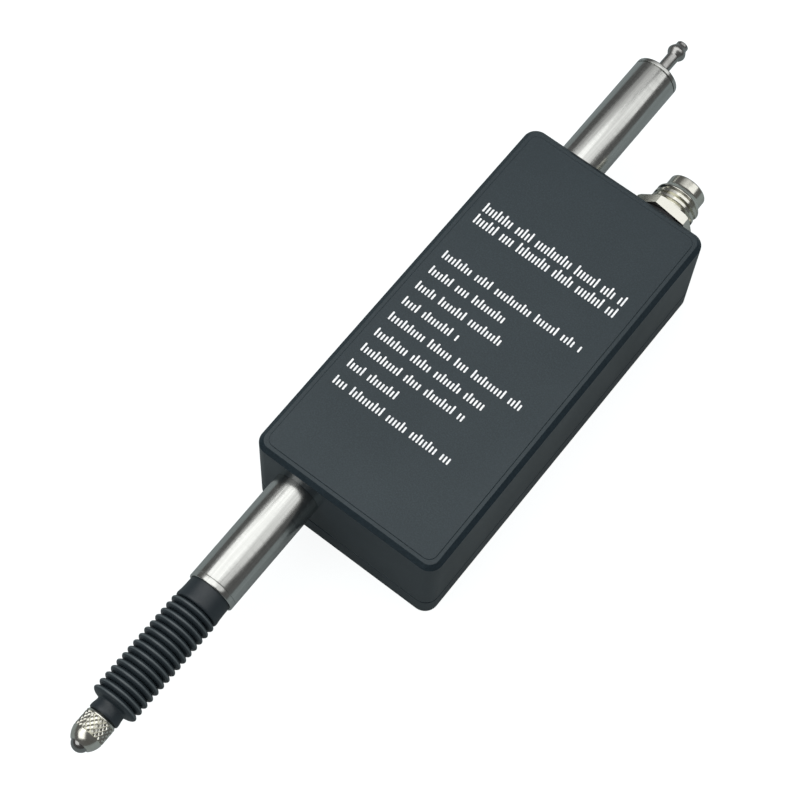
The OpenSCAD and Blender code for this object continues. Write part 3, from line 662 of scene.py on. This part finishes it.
@dataclass
class SubAssembly(ABC):
    """A group of pieces that is built and dressed together."""

    pieces: dict[str, Piece] = field(default_factory=dict, init=False)

    @abstractmethod
    def build(self) -> None:
        """Models the pieces."""

    @abstractmethod
    def dress(self) -> None:
        """Gives the pieces their finishes and their bodies."""

    def keep(
        self, obj: Piece, finish: Finish, body: Body | None = Body.CASE, replaces: Sequence[str] = ()
    ) -> None:
        """Finishes a piece and ties it to the frame.

        Args:
            obj: the piece.
            finish: its finish.
            body: the body that it rides on, or None to leave it unattached.
            replaces: the CAD nodes that it stands for.
        """
        obj.data.materials.clear()
        obj.data.materials.append(finish.material())
        if body is not None:
            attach(obj, body.value)
        if replaces:
            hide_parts(*replaces)
        log.info("%s: %d faces, %s", obj.name, len(obj.data.polygons), finish.name)


@dataclass
class CaseShell(SubAssembly):
    """Case, back cover and face panel, with their outer edges softened."""

    chamfer: float = 0.75
    rim_drop: float = 0.1
    rim_margin: float = 1.0
    rim_reach: float = 1.4
    corner_reach: float = 2.35
    corner_depth: float = 1.0
    bore_reach: float = 4.2
    case_edge: float = 0.1
    seam_edge: float = 0.12
    panel_edge: float = 0.1
    panel_seam: float = 0.14
    slack: float = 0.01
    sharp: float = math.radians(25.0)
    low: Vector = field(init=False)
    high: Vector = field(init=False)

    def build(self) -> None:
        """Copies the CAD shells, sets the rim under the panel and softens the outer edges."""
        low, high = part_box("housing")
        self.low, self.high = low / MM, high / MM
        for node, name, edge, reshape, is_soft in (
            ("housing", "case_shell", self.case_edge, self.sink_rim, self.is_outer_edge),
            ("bottom_cover", "back_cover", self.seam_edge, None, self.is_outer_edge),
            ("face_panel", "marked_panel", self.panel_edge, self.fill_pocket, self.is_panel_edge),
        ):
            obj = cad_copy(node, name)
            if reshape:
                reshape(obj)
            with edit_mode(obj):
                select_where(obj, Element.EDGE, is_soft)
                bpy.ops.mesh.bevel(
                    offset=edge * MM, segments=3, profile=0.5, affect="EDGES", clamp_overlap=True
                )
            self.pieces[node] = shade(obj, 35.0, weighted=True)

    def sink_rim(self, obj: Piece) -> None:
        """Lowers the rim and its chamfer a little under the face of the panel."""
        with edit_mode(obj):
            count = select_where(obj, Element.POINT, self.is_rim_point)
            bpy.ops.transform.translate(value=(0.0, 0.0, -self.rim_drop * MM))
        log.info("rim: %d points lowered", count)

    def fill_pocket(self, obj: Piece) -> None:
        """Grows the panel on each side until it fills its pocket."""
        middle = (self.low + self.high) / 2
        for side in (-1, 1):
            for axis in (0, 1):
                step = Vector((0.0, 0.0, 0.0))
                step[axis] = side * self.panel_seam * MM
                with edit_mode(obj):
                    select_where(obj, Element.POINT, lambda v: side * (v.co[axis] / MM - middle[axis]) > 0)
                    bpy.ops.transform.translate(value=step)

    def wall_distances(self, p: Vector) -> Point:
        """Gives a point's distances in mm from the nearer wall along X and along Y."""
        return min(p.x - self.low.x, self.high.x - p.x), min(p.y - self.low.y, self.high.y - p.y)

    def is_rim_point(self, vertex: bmesh.types.BMVert) -> bool:
        """Tells whether a point is on the rim round the panel or on its chamfer."""
        p = vertex.co / MM
        inner = self.chamfer + self.panel_seam + self.rim_margin
        return p.z > self.high.z - self.chamfer - self.slack and min(self.wall_distances(p)) < inner

    def on_outside(self, vertex: bmesh.types.BMVert) -> bool:
        """Tells whether a point lies on the outer skin of the case: walls, chamfer or rim."""
        p = vertex.co / MM
        distances = self.wall_distances(p)
        reach = self.slack
        if max(distances) < self.corner_reach:
            reach = self.corner_depth
        if p.z > self.high.z - self.chamfer - self.rim_drop - 3 * self.slack:
            reach = self.rim_reach
        return min(distances) < reach

    def is_outer_edge(self, edge: bmesh.types.BMEdge) -> bool:
        """Tells whether an edge is a sharp, level one on the outer skin, away from the tubes' bores."""
        if len(edge.link_faces) != 2 or edge.calc_face_angle(0.0) < self.sharp:
            return False
        if not all(self.on_outside(vertex) for vertex in edge.verts):
            return False
        a, b = (vertex.co.z / MM for vertex in edge.verts)
        return abs(a - b) < self.slack and max(abs(a), abs(b)) > self.bore_reach

    def is_panel_edge(self, edge: bmesh.types.BMEdge) -> bool:
        """Tells whether an edge is on the panel's upper rim."""
        top = self.high.z - self.slack
        return edge.calc_face_angle(0.0) > self.sharp and all(v.co.z / MM > top for v in edge.verts)

    def dress(self) -> None:
        """Coats the case and the cover in one coat and the panel in its own."""
        self.keep(self.pieces["housing"], CASE_COAT, replaces=["housing"])
        self.keep(self.pieces["bottom_cover"], CASE_COAT, replaces=["bottom_cover"])
        self.keep(self.pieces["face_panel"], PANEL_COAT, replaces=["face_panel"])


@dataclass
class PanelPrint(SubAssembly):
    """Generic print on the panel: rows of plain upright marks in groups, with nothing to read."""

    top: float = 7.0
    raised: float = 0.02
    centre: Point = (8.5, 35.5)
    left: float = -13.7
    mark_width: float = 0.3
    mark_rounding: float = 0.45
    low_share: float = 0.72
    pitch: float = 0.62
    gap: float = 0.75
    groups: tuple[int, ...] = (9, 5, 11, 7, 4, 10, 6, 8, 12, 5)
    group_step: int = 3
    tall: tuple[int, ...] = (0, 4, 6, 11, 13, 18, 22, 25, 31, 34)
    tall_cycle: int = 37
    heading_height: float = 1.9
    heading: tuple[Point, ...] = ((18.4, 13.3), (15.9, 13.3))
    row_height: float = 1.6
    rows: tuple[Point, ...] = (
        (7.7, 13.0), (4.3, 1.8), (0.9, 2.9), (-2.5, -2.7), (-5.9, 11.4),
        (-9.4, 7.0), (-12.7, 5.6), (-16.1, -4.0), (-19.6, 8.5),
    )
    marks: list[Piece] = field(default_factory=list, init=False)

    def mark(self, name: str, height: float) -> Piece:
        """Models one mark, with round ends, at the panel's height.

        Args:
            name: name of the mark.
            height: its length along Y.

        Returns:
            The mark, with its foot at y = 0.
        """
        middle = (0.0, height / 2 * MM, self.top * MM)
        obj = added(bpy.ops.mesh.primitive_plane_add, name, size=1.0, location=middle)
        obj.scale = (self.mark_width * MM, height * MM, 1.0)
        settle()
        with edit_mode(obj):
            bpy.ops.mesh.bevel(
                offset=self.mark_rounding * self.mark_width * MM, segments=3, affect="VERTICES"
            )
            bpy.ops.mesh.select_all(action="SELECT")
            bpy.ops.mesh.extrude_region_move(TRANSFORM_OT_translate={"value": (0.0, 0.0, self.raised * MM)})
            face_outwards()
        return obj

    def row(
        self, y: float, right: float, height: float, patterns: Mapping[bool, Piece], group: int
    ) -> None:
        """Sets one row of marks.

        Args:
            y: the row's middle, from the panel's centre.
            right: where the row ends.
            height: length of its tall marks.
            patterns: the tall and the low mark, by whether they are tall.
            group: which of the group lengths comes first.
        """
        last = right - self.mark_width
        x, count = self.left, 0
        while x < last:
            for _ in range(self.groups[group % len(self.groups)]):
                if x > last:
                    break
                pattern = patterns[count % self.tall_cycle in self.tall]
                copy = bpy.data.objects.new("mark", pattern.data.copy())
                bpy.context.scene.collection.objects.link(copy)
                copy.location = Vector((self.centre[0] + x, self.centre[1] + y - height / 2, 0.0)) * MM
                self.marks.append(copy)
                x += self.pitch
                count += 1
            x += self.gap
            group += 1

    def build(self) -> None:
        """Sets all rows and joins them into one piece."""
        for rows, height in ((self.heading, self.heading_height), (self.rows, self.row_height)):
            low = self.low_share * height
            patterns = {True: self.mark("tall_mark", height), False: self.mark("low_mark", low)}
            for number, (y, right) in enumerate(rows):
                self.row(y, right, height, patterns, number * self.group_step)
            for pattern in patterns.values():
                bpy.data.objects.remove(pattern)
        activate(self.marks[0])
        for mark in self.marks:
            mark.select_set(True)
        settle()
        self.pieces["print"] = joined("panel_print", self.marks)

    def dress(self) -> None:
        """Prints the marks in white enamel."""
        self.keep(self.pieces["print"], PRINT)


@dataclass
class GroundTube(SubAssembly):
    """Ground tube whose seat in the case has a groove for a retaining ring."""

    radius: float = 4.0
    seat_radius: float = 3.8
    bore: float = 3.0
    groove: Point = (7.0, 8.0)
    groove_depth: float = 0.3
    soft: float = 0.09
    step_soft: float = 0.02
    seat_soft: float = 0.15
    bore_soft: float = 0.1

    def seat_groove(self) -> list[Point]:
        """Gives the corners of the seat's groove."""
        outer, inner = self.seat_radius, self.seat_radius - self.groove_depth
        front, rear = self.groove
        return [(outer, front), (inner, front), (inner, rear), (outer, rear)]


@dataclass
class FrontStem(GroundTube):
    """Ground stem with its thin end ring."""

    pocket: float = 3.65
    pocket_depth: float = 2.2
    ring: float = 1.0
    ring_soft: float = 0.3
    lip_soft: float = 0.06
    inner_end: float = 10.0

    def build(self) -> None:
        """Turns the stem, with its step, groove and pocket, and the ring."""
        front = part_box("front_stem")[0].y / MM
        floor = front + self.pocket_depth
        self.pieces["stem"] = shade(turned("ground_stem", [
            (self.pocket, front), (self.radius, front, self.soft), (self.radius, 0.0, self.step_soft),
            (self.seat_radius, 0.0), *self.seat_groove(),
            (self.seat_radius, self.inner_end, self.seat_soft), (self.bore, self.inner_end, self.bore_soft),
            (self.bore, floor), (self.pocket, floor),
        ]))
        self.pieces["ring"] = shade(turned("end_ring", [
            (self.pocket, front), (self.pocket, front - self.ring, self.lip_soft),
            (self.radius, front - self.ring, self.ring_soft), (self.radius, front, self.soft),
        ]))

    def dress(self) -> None:
        """Gives both the ground steel."""
        self.keep(self.pieces["stem"], STEEL, replaces=["front_stem"])
        self.keep(self.pieces["ring"], STEEL, replaces=["stem_end_ring"])


@dataclass
class Bellows(SubAssembly):
    """Rubber bellows from the stem's pocket to the lip on the spindle.

    The collar is given by (radius, y), the lip by (radius, way past the last fold) and the throat
    inside the collar by (radius, way before the first fold).
    """

    folds: int = 15
    pitch: float = 1.24
    start: float = -24.0
    crest: float = 3.93
    valley: float = 3.08
    wall: float = 0.45
    sharpness: float = 0.7
    steps: int = 12
    collar: tuple[Point, ...] = (
        (3.02, -17.4), (3.6, -17.4), (3.62, -20.5), (3.65, -21.8), (3.7, -22.8), (3.78, -23.4),
        (3.79, -23.65), (3.72, -23.86), (3.5, -23.96),
    )
    lip: tuple[Point, ...] = (
        (2.75, 0.06), (2.5, 0.14), (2.42, 0.3), (2.41, 0.55), (2.46, 0.9), (2.54, 1.3), (2.58, 1.6),
        (2.58, 1.8), (2.53, 1.98), (2.42, 2.08), (2.25, 2.1), (1.61, 2.1), (1.61, 0.1),
    )
    throat: tuple[Point, ...] = ((2.9, 0.25), (3.02, 0.6))

    def wave(self, step: int) -> Point:
        """Gives a point of the folds' outside, from a valley at step 0."""
        turn = step / self.steps
        swell = abs(math.sin(math.pi * turn)) ** self.sharpness
        return self.valley + (self.crest - self.valley) * swell, self.start - turn * self.pitch

    def build(self) -> None:
        """Turns collar, folds and lip as one skin."""
        end = self.start - self.folds * self.pitch
        outside = [self.wave(i) for i in range(self.folds * self.steps + 1)]
        inside = [(r - self.wall, y) for r, y in reversed(outside)]
        lip = [(r, end - past) for r, past in self.lip]
        throat = [(r, self.start + before) for r, before in self.throat]
        outline = [*self.collar, *outside, *lip, *inside, *throat]
        self.pieces["bellows"] = shade(turned("bellows_skin", outline, segments=96), 50.0)

    def dress(self) -> None:
        """Finishes the skin, with no body of its own, and hides the CAD bellows."""
        skin = self.pieces["bellows"]
        self.keep(skin, BELLOWS_RUBBER, body=None)
        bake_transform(skin)
        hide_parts("bellows")


@dataclass
class ContactTip(SubAssembly):
    """Screwed tip with a diamond-knurled barrel, a smooth nose and its ball.

    The cup that holds the ball is given by (radius, depth).
    """

    base: float = -44.75
    pin_radius: float = 1.2
    pin_length: float = 4.0
    base_radius: float = 2.27
    shoulder: float = 2.53
    shoulder_way: float = 0.34
    root: float = 2.37
    crest: float = 2.54
    knurl: Point = (-45.27, -47.97)
    starts: int = 20
    knurl_rows: int = 3
    diamond_gap: float = 0.14
    core_gap: float = 0.04
    nose_radius: float = 2.55
    nose_y: float = -47.6
    nose_skip: float = 0.4
    nose_steps: int = 14
    seat: float = -49.85
    seat_radius: float = 1.66
    cup: tuple[Point, ...] = ((1.46, 0.0), (1.4, 0.4), (0.0, 0.5))
    ball_radius: float = 1.5
    ball_y: float = -49.43
    ball_steps: int = 32

    def barrel(self) -> Piece:
        """Models the knurl: a net of diamonds, each raised to a small flat."""
        rear, front = self.knurl
        obj = added(
            bpy.ops.mesh.primitive_cylinder_add, "knurl", vertices=self.starts, radius=self.root * MM,
            depth=(rear - front) * MM, end_fill_type="NOTHING",
            location=(0.0, (rear + front) / 2 * MM, 0.0), rotation=(math.pi / 2, 0.0, 0.0),
        )
        settle()
        row = (rear - front) / self.knurl_rows
        sag = self.root * (1 - math.cos(math.pi / self.starts))
        with edit_mode(obj):
            for i in range(1, self.knurl_rows):
                bpy.ops.mesh.select_all(action="SELECT")
                bpy.ops.mesh.bisect(plane_co=(0.0, (front + i * row) * MM, 0.0), plane_no=(0.0, 1.0, 0.0))
            face_outwards()
            bpy.ops.mesh.mark_seam(clear=False)
            bpy.ops.mesh.poke(offset=sag * MM)
            select_where(obj, Element.EDGE, lambda edge: edge.seam and len(edge.link_faces) == 2)
            bpy.ops.mesh.dissolve_edges(use_verts=False)
            bpy.ops.mesh.select_all(action="SELECT")
            bpy.ops.mesh.mark_seam(clear=True)
            bpy.ops.mesh.inset(
                thickness=self.diamond_gap * MM, depth=(self.crest - self.root) * MM, use_individual=True
            )
            bpy.ops.mesh.select_all(action="SELECT")
            bpy.ops.mesh.fill_holes(sides=0)
            face_outwards()
        return obj

    def nose(self) -> list[Point]:
        """Gives the nose's outline: an arc that starts along the barrel and ends at the seat."""
        drop = self.nose_radius - self.seat_radius
        length = self.nose_y - self.seat
        arc = (length ** 2 + drop ** 2) / (2 * drop)
        points = []
        for i in range(self.nose_steps + 1):
            way = self.nose_skip + (length - self.nose_skip) * i / self.nose_steps
            points.append((self.nose_radius - arc + math.sqrt(arc ** 2 - way * way), self.nose_y - way))
        return points

    def build(self) -> None:
        """Turns the tip and the ball, and sets the knurl on the tip."""
        rear, front = self.knurl
        core = self.root - self.core_gap
        *nose, (end_radius, end) = self.nose()
        outline = [
            (0.0, self.base + self.pin_length), (self.pin_radius, self.base + self.pin_length, 0.1),
            (self.pin_radius, self.base), (self.base_radius, self.base, 0.05),
            (self.shoulder, self.base - self.shoulder_way, 0.08), (self.shoulder, rear + 0.02, 0.03),
            (core, rear - 0.08), (core, front + 0.05),
            *nose,
            (end_radius + 0.02, end + 0.03), (end_radius, end, 0.05),
            *((r, self.seat + deep) for r, deep in self.cup),
        ]
        tip = shade(turned("tip_body", outline, segments=96, closed=False))
        self.pieces["tip"] = joined("knurled_tip", [tip, shade(self.barrel(), 15.0)])
        ball = []
        for i in range(self.ball_steps + 1):
            turn = math.pi * i / self.ball_steps
            ball.append((self.ball_radius * math.sin(turn), self.ball_y - self.ball_radius * math.cos(turn)))
        self.pieces["ball"] = shade(turned("contact_ball", ball, segments=64, closed=False), 40.0)

    def dress(self) -> None:
        """Plates the tip in nickel and leaves the ball bare carbide, whose dark grey is partly painted shade.
        """
        self.keep(self.pieces["tip"], NICKEL, Body.SPINDLE, ["contact_tip"])
        self.keep(self.pieces["ball"], CARBIDE_AND_SHADE, Body.SPINDLE, ["tip_ball"])


@dataclass
class RearCylinder(GroundTube):
    """Ground air cylinder behind the case, its cap and the barbed nipple.

    The barb is given by (radius, y from its crest, rounding).
    """

    front: float = 61.0
    wall_y: float = 71.0
    groove: Point = (63.0, 64.0)
    seam: float = 94.05
    seam_depth: float = 0.25
    seam_width: float = 0.15
    rim: float = 0.95
    rim_soft: float = 0.22
    cap_length: float = 3.5
    seal_groove: Point = (1.0, 2.0)
    seal_depth: float = 0.7
    mouth: Point = (1.35, 1.2)
    mouth_depth: float = 0.12
    passage: float = 0.6
    shaft: float = 1.07
    shaft_seat: float = 1.5
    nipple_end: float = 102.65
    barb_way: float = 1.9
    barb: tuple[Corner, ...] = (
        (1.07, -1.05, 0.1), (1.3, -0.75, 0.15), (1.54, -0.35, 0.25), (1.62, 0.02, 0.25),
        (1.52, 0.4, 0.3), (1.2, 0.95, 0.3), (1.07, 1.25, 0.15),
    )

    def cap(self) -> Outline:
        """Gives the cap's corners: plug with its seal's groove, seam, rim and the nipple's hole."""
        front, end = self.seam - self.cap_length, self.seam + self.rim
        plug, deep = self.bore, self.bore - self.seal_depth
        seal_front, seal_rear = (front + y for y in self.seal_groove)
        neck, lip = self.radius - self.seam_depth, self.seam + self.seam_width
        floor, seat = end - self.mouth_depth, front + self.shaft_seat
        return [
            (self.passage, front), (plug, front, self.bore_soft), (plug, seal_front),
            (deep, seal_front), (deep, seal_rear), (plug, seal_rear), (plug, self.seam),
            (neck, self.seam), (neck, lip, 0.02), (self.radius, lip + 0.02, 0.05),
            (self.radius, end, self.rim_soft), (self.mouth[0], end, 0.05), (self.mouth[1], floor),
            (self.shaft, floor), (self.shaft, seat), (self.passage, seat),
        ]

    def build(self) -> None:
        """Turns cylinder, cap and nipple."""
        self.pieces["cylinder"] = shade(turned("air_cylinder", [
            (self.bore, self.front, self.bore_soft), (self.seat_radius, self.front, self.seat_soft),
            *self.seat_groove(), (self.seat_radius, self.wall_y),
            (self.radius, self.wall_y, self.step_soft), (self.radius, self.seam, self.soft),
            (self.bore, self.seam),
        ]))
        self.pieces["cap"] = shade(turned("cylinder_cap", self.cap()))
        seat = self.seam - self.cap_length + self.shaft_seat
        crest = self.nipple_end - self.barb_way
        self.pieces["nipple"] = shade(turned("barbed_nipple", [
            (self.passage, seat), (self.shaft, seat),
            *((r, crest + y, soft) for r, y, soft in self.barb),
            (self.shaft, self.nipple_end, 0.18), (self.passage, self.nipple_end, 0.08),
        ], segments=72))

    def dress(self) -> None:
        """Gives tube and cap the ground steel and the nipple a duller plating."""
        self.keep(self.pieces["cylinder"], STEEL, replaces=["rear_cylinder"])
        self.keep(self.pieces["cap"], STEEL, replaces=["cylinder_end_cap"])
        self.keep(self.pieces["nipple"], DULL_NICKEL, replaces=["air_nipple"])


@dataclass
class Connector(SubAssembly):
    """Round cable connector: seal, hexagon, thread and nose.

    The thread's profile is given by (whether at its crest, share of the pitch).
    """

    x: float = 16.4
    inner: float = 61.4
    wall_y: float = 71.0
    seal: float = 1.35
    seal_radius: float = 4.75
    hex_flats: float = 9.8
    hex_thick: float = 1.7
    hex_turn: float = 13.7
    hex_corner: float = 0.26
    hex_cut: float = 0.35
    hex_edge: float = 0.06
    thread_radius: float = 4.0
    thread_root: float = 3.4
    thread_sink: float = 0.12
    thread_length: float = 3.4
    thread_pitch: float = 1.0
    profile: tuple[tuple[bool, float], ...] = ((False, 0.0), (True, 0.24), (True, 0.72), (False, 0.96))
    slack: float = 0.01
    cone: float = 1.15
    nose_radius: float = 3.3
    nose: float = 1.85
    socket: float = 2.75
    socket_depth: float = 5.0
    insert: float = 2.5

    def hexagon(self) -> Piece:
        """Models the hexagon with the corners of its rear face turned off a little."""
        front = self.wall_y + self.seal
        rear = front + self.hex_thick
        corners = self.hex_flats / math.sqrt(3)
        obj = added(
            bpy.ops.mesh.primitive_cylinder_add, "hexagon", vertices=6, radius=corners * MM,
            depth=self.hex_thick * MM, location=(self.x * MM, (front + rear) / 2 * MM, 0.0),
            rotation=(math.pi / 2, math.radians(90 + self.hex_turn), 0.0),
        )
        settle()
        limit = turned("turned_blank", [
            (self.socket, front - self.slack), (corners + 0.1, front - self.slack),
            (corners + 0.1, rear - self.hex_corner), (corners - self.hex_cut, rear + self.slack),
            (self.socket, rear + self.slack),
        ], self.x, 96)
        finish_modifier(obj, "BOOLEAN", operation="INTERSECT", object=limit, solver="EXACT")
        bpy.data.objects.remove(limit)
        finish_modifier(
            obj, "BEVEL", width=self.hex_edge * MM, segments=2, limit_method="ANGLE",
            angle_limit=math.radians(35),
        )
        return shade(obj, 35.0, weighted=True)

    def thread(self, start: float, end: float) -> Piece:
        """Winds the thread's ridge round the neck.

        Args:
            start: Y where the ridge begins.
            end: Y where it ends.

        Returns:
            The ridge.
        """
        root, crest = self.thread_root - self.thread_sink, self.thread_radius - self.slack
        path = [
            Vector((crest if at_crest else root, start + share * self.thread_pitch, 0.0)) * MM
            for at_crest, share in self.profile
        ]
        obj = drawn("thread_ridge", path + path[:1])
        finish_modifier(
            obj, "SCREW", axis="Y", angle=2 * math.pi, screw_offset=self.thread_pitch * MM,
            iterations=round((end - start) / self.thread_pitch) - 1, steps=64, render_steps=64,
            use_merge_vertices=True, merge_threshold=WELD,
        )
        with edit_mode(obj):
            bpy.ops.mesh.fill_holes(sides=8)
            face_outwards()
            bpy.ops.transform.translate(value=(self.x * MM, 0.0, 0.0))
        return shade(obj, 30.0)

    def build(self) -> None:
        """Turns the neck, winds its thread and joins both with the hexagon."""
        hex_front = self.wall_y + self.seal
        hex_rear = hex_front + self.hex_thick
        thread_rear = hex_rear + self.thread_length
        nose_front = thread_rear + self.cone
        end = nose_front + self.nose
        floor = end - self.socket_depth
        neck = self.thread_radius
        core = turned("connector_neck", [
            (self.insert, self.inner), (neck, self.inner, 0.2), (neck, hex_front + 0.4),
            (neck, hex_rear + 0.12), (self.thread_root, hex_rear + 0.4),
            (self.thread_root, thread_rear - 0.45), (neck - 0.02, thread_rear - 0.1, 0.06),
            (neck - 0.05, thread_rear + 0.15, 0.12), (self.nose_radius, nose_front - 0.1, 0.25),
            (self.nose_radius, end, 0.28), (self.socket + 0.05, end, 0.1), (self.socket, end - 0.3),
            (self.socket, floor), (self.insert, floor),
        ], self.x)
        self.pieces["shell"] = joined("connector_body", [
            shade(core), self.hexagon(), self.thread(hex_rear + 0.3, thread_rear - 0.1),
        ])
        self.pieces["seal"] = shade(turned("sealing_ring", [
            (neck, self.wall_y), (self.seal_radius, self.wall_y, 0.12),
            (self.seal_radius, hex_front, 0.2), (neck, hex_front),
        ], self.x, 96))

    def dress(self) -> None:
        """Plates the shell in nickel over a rubber ring whose near-black colour is partly painted shade."""
        self.keep(self.pieces["shell"], NICKEL, replaces=["connector_shell"])
        self.keep(self.pieces["seal"], SEAL_RUBBER_AND_SHADE, replaces=["connector_seal"])


@dataclass
class ReturnSpring(SubAssembly):
    """Coil spring between the cylinder's gland and the piston."""

    def build(self) -> None:
        """Copies the CAD spring, which closes up as the spindle moves out."""
        self.pieces["spring"] = shade(cad_copy("return_spring", "coil_spring"), 40.0)

    def dress(self) -> None:
        """Finishes the coils, with no body of their own, and hides the CAD spring."""
        coil = self.pieces["spring"]
        self.keep(coil, SCREW_STEEL, body=None)
        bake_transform(coil)
        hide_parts("return_spring")


def dress_carried_nodes() -> None:
    """Finishes every CAD node, whose own shape is right, by its record's material slot."""
    for part in frame["record"]["subparts"]:
        node = frame["nodes"][part["node"]]
        finish = SLOT_FINISH[part["material_slot"]]
        node.data.materials.clear()
        node.data.materials.append(finish.material())
        log.info("%s: CAD node in %s", part["node"], finish.name)


# Studio: floor, lamps and camera


@dataclass
class Softbox:
    """A rectangular lamp that faces straight down.

    `across` and `ahead` lie in the camera's plan axes and are shares of the height.
    """

    name: str
    across: Point
    ahead: Point
    radiance: float
    height: float = 0.6
    turn: float = math.radians(34.0)

    def hang(self, over: Vector) -> None:
        """Hangs the lamp over a point.

        Args:
            over: the point below the zero of `across` and `ahead`.
        """
        u, v = sum(self.across) / 2 * self.height, sum(self.ahead) / 2 * self.height
        c, s = math.cos(self.turn), math.sin(self.turn)
        place = over + Vector((u * c - v * s, u * s + v * c, self.height))
        lamp = added(
            bpy.ops.object.light_add, self.name, type="AREA", location=place, rotation=(0.0, 0.0, self.turn)
        )
        lamp.data.shape = "RECTANGLE"
        lamp.data.size = (self.across[1] - self.across[0]) * self.height
        lamp.data.size_y = (self.ahead[1] - self.ahead[0]) * self.height
        lamp.data.energy = math.pi * self.radiance * lamp.data.size * lamp.data.size_y
        log.info("%s: %.2f W", self.name, lamp.data.energy)


@dataclass
class Studio:
    """Pale floor, white surroundings, softboxes and the camera, with lengths in metres."""

    floor_size: float = 8.0
    floor_level: float = -0.012
    floor_tint: Colour = (0.176, 0.201, 0.206)
    floor_grain: float = 0.97
    floor_glow: float = 0.87
    floor_in_metal: float = 0.035
    around_in_metal: float = 0.112
    fill: float = 0.76
    camera_place: Corner = (0.0804126, -0.0931370, 0.3085764)
    camera_turn: Corner = (0.42115478, -0.02970582, 0.65964732)
    lens: float = 98.557
    lens_shift: Point = (-0.0006, 0.0006)
    clip_start: float = 0.01
    boxes_over: Corner = (0.0, 0.03, 0.0)
    boxes: tuple[Softbox, ...] = (
        Softbox("main_box", (-1.0, 0.3), (-0.15, 0.64), 1.52),
        Softbox("left_box", (-1.0, -0.42), (0.64, 0.94), 1.5),
        Softbox("rear_box", (-0.42, 0.6), (0.64, 1.0), 0.62),
        Softbox("wall_glow", (-1.4, 0.6), (1.0, 1.5), 0.34),
        Softbox("far_box", (0.3, 1.85), (0.02, 0.6), 1.05),
        Softbox("near_strip", (0.3, 1.15), (-0.44, 0.02), 0.88),
        Softbox("side_glow", (0.95, 1.5), (-0.5, -0.2), 0.5),
        Softbox("tip_box", (-1.75, -0.35), (-1.15, -0.15), 1.4),
        Softbox("edge_box", (-1.8, -1.0), (-0.15, 0.28), 1.15),
    )

    def lay_floor(self) -> None:
        """Lays the floor: a pale sheet whose own glow towards the camera makes the ground white."""
        level = (0.0, 0.0, self.floor_level)
        floor = added(bpy.ops.mesh.primitive_plane_add, "floor", size=self.floor_size, location=level)
        paper = bpy.data.materials.new("floor_paper")
        floor.data.materials.append(paper)
        bench = NodeBench(paper)
        darker = dimmed(self.floor_tint, self.floor_grain)
        sheet = bench.add("ShaderNodeBsdfDiffuse", {
            "Color": bench.mixed(bench.noise(scale=40.0), darker, self.floor_tint),
        })
        rays = bench.add("ShaderNodeLightPath").outputs
        direct = bench.calculated("MAXIMUM", rays["Is Camera Ray"], rays["Is Transmission Ray"])
        strength = bench.calculated(
            "MULTIPLY_ADD", rays["Is Glossy Ray"], self.floor_in_metal,
            bench.calculated("MULTIPLY", direct, self.floor_glow),
        )
        glow = bench.add("ShaderNodeEmission", {"Strength": strength})
        bench.show(bench.add("ShaderNodeAddShader", {0: sheet.outputs[0], 1: glow.outputs[0]}))

    def surround(self) -> None:
        """Makes the world white to the camera and through glass, and grey in metal."""
        world = bpy.data.worlds.new("surround")
        bpy.context.scene.world = world
        bench = NodeBench(world, "ShaderNodeOutputWorld")
        rays = bench.add("ShaderNodeLightPath").outputs
        strength: Socket | float = self.fill
        for ray, value in (
            ("Is Glossy Ray", self.around_in_metal), ("Is Transmission Ray", 1.0), ("Is Camera Ray", 1.0),
        ):
            choice = {"Factor": rays[ray], "A": strength, "B": value}
            strength = bench.add("ShaderNodeMix", choice).outputs["Result"]
        bench.show(bench.add("ShaderNodeBackground", {"Color": (1.0, 1.0, 1.0), "Strength": strength}))

    def set_camera(self) -> None:
        """Puts the camera where the photograph was taken from."""
        camera = added(
            bpy.ops.object.camera_add, "Camera", location=self.camera_place, rotation=self.camera_turn
        )
        camera.data.lens = self.lens
        camera.data.shift_x, camera.data.shift_y = self.lens_shift
        camera.data.clip_start = self.clip_start
        bpy.context.scene.camera = camera
        log.info("camera at %s", tuple(round(value, 4) for value in camera.location))

    def build(self) -> None:
        """Sets up floor, surroundings, lamps and camera."""
        self.lay_floor()
        self.surround()
        for box in self.boxes:
            box.hang(Vector(self.boxes_over))
        self.set_camera()


def main() -> None:
    """Builds and dresses all sub-assemblies in order."""
    logging.basicConfig(level=logging.INFO, format="%(name)s %(message)s")
    bpy.context.scene.view_settings.view_transform = "Standard"
    Studio().build()
    dress_carried_nodes()
    for assembly in (
        CaseShell(), PanelPrint(), FrontStem(), Bellows(), ContactTip(), RearCylinder(), Connector(),
        ReturnSpring(),
    ):
        assembly.build()
        assembly.dress()


if __name__ == "__main__":
    main()
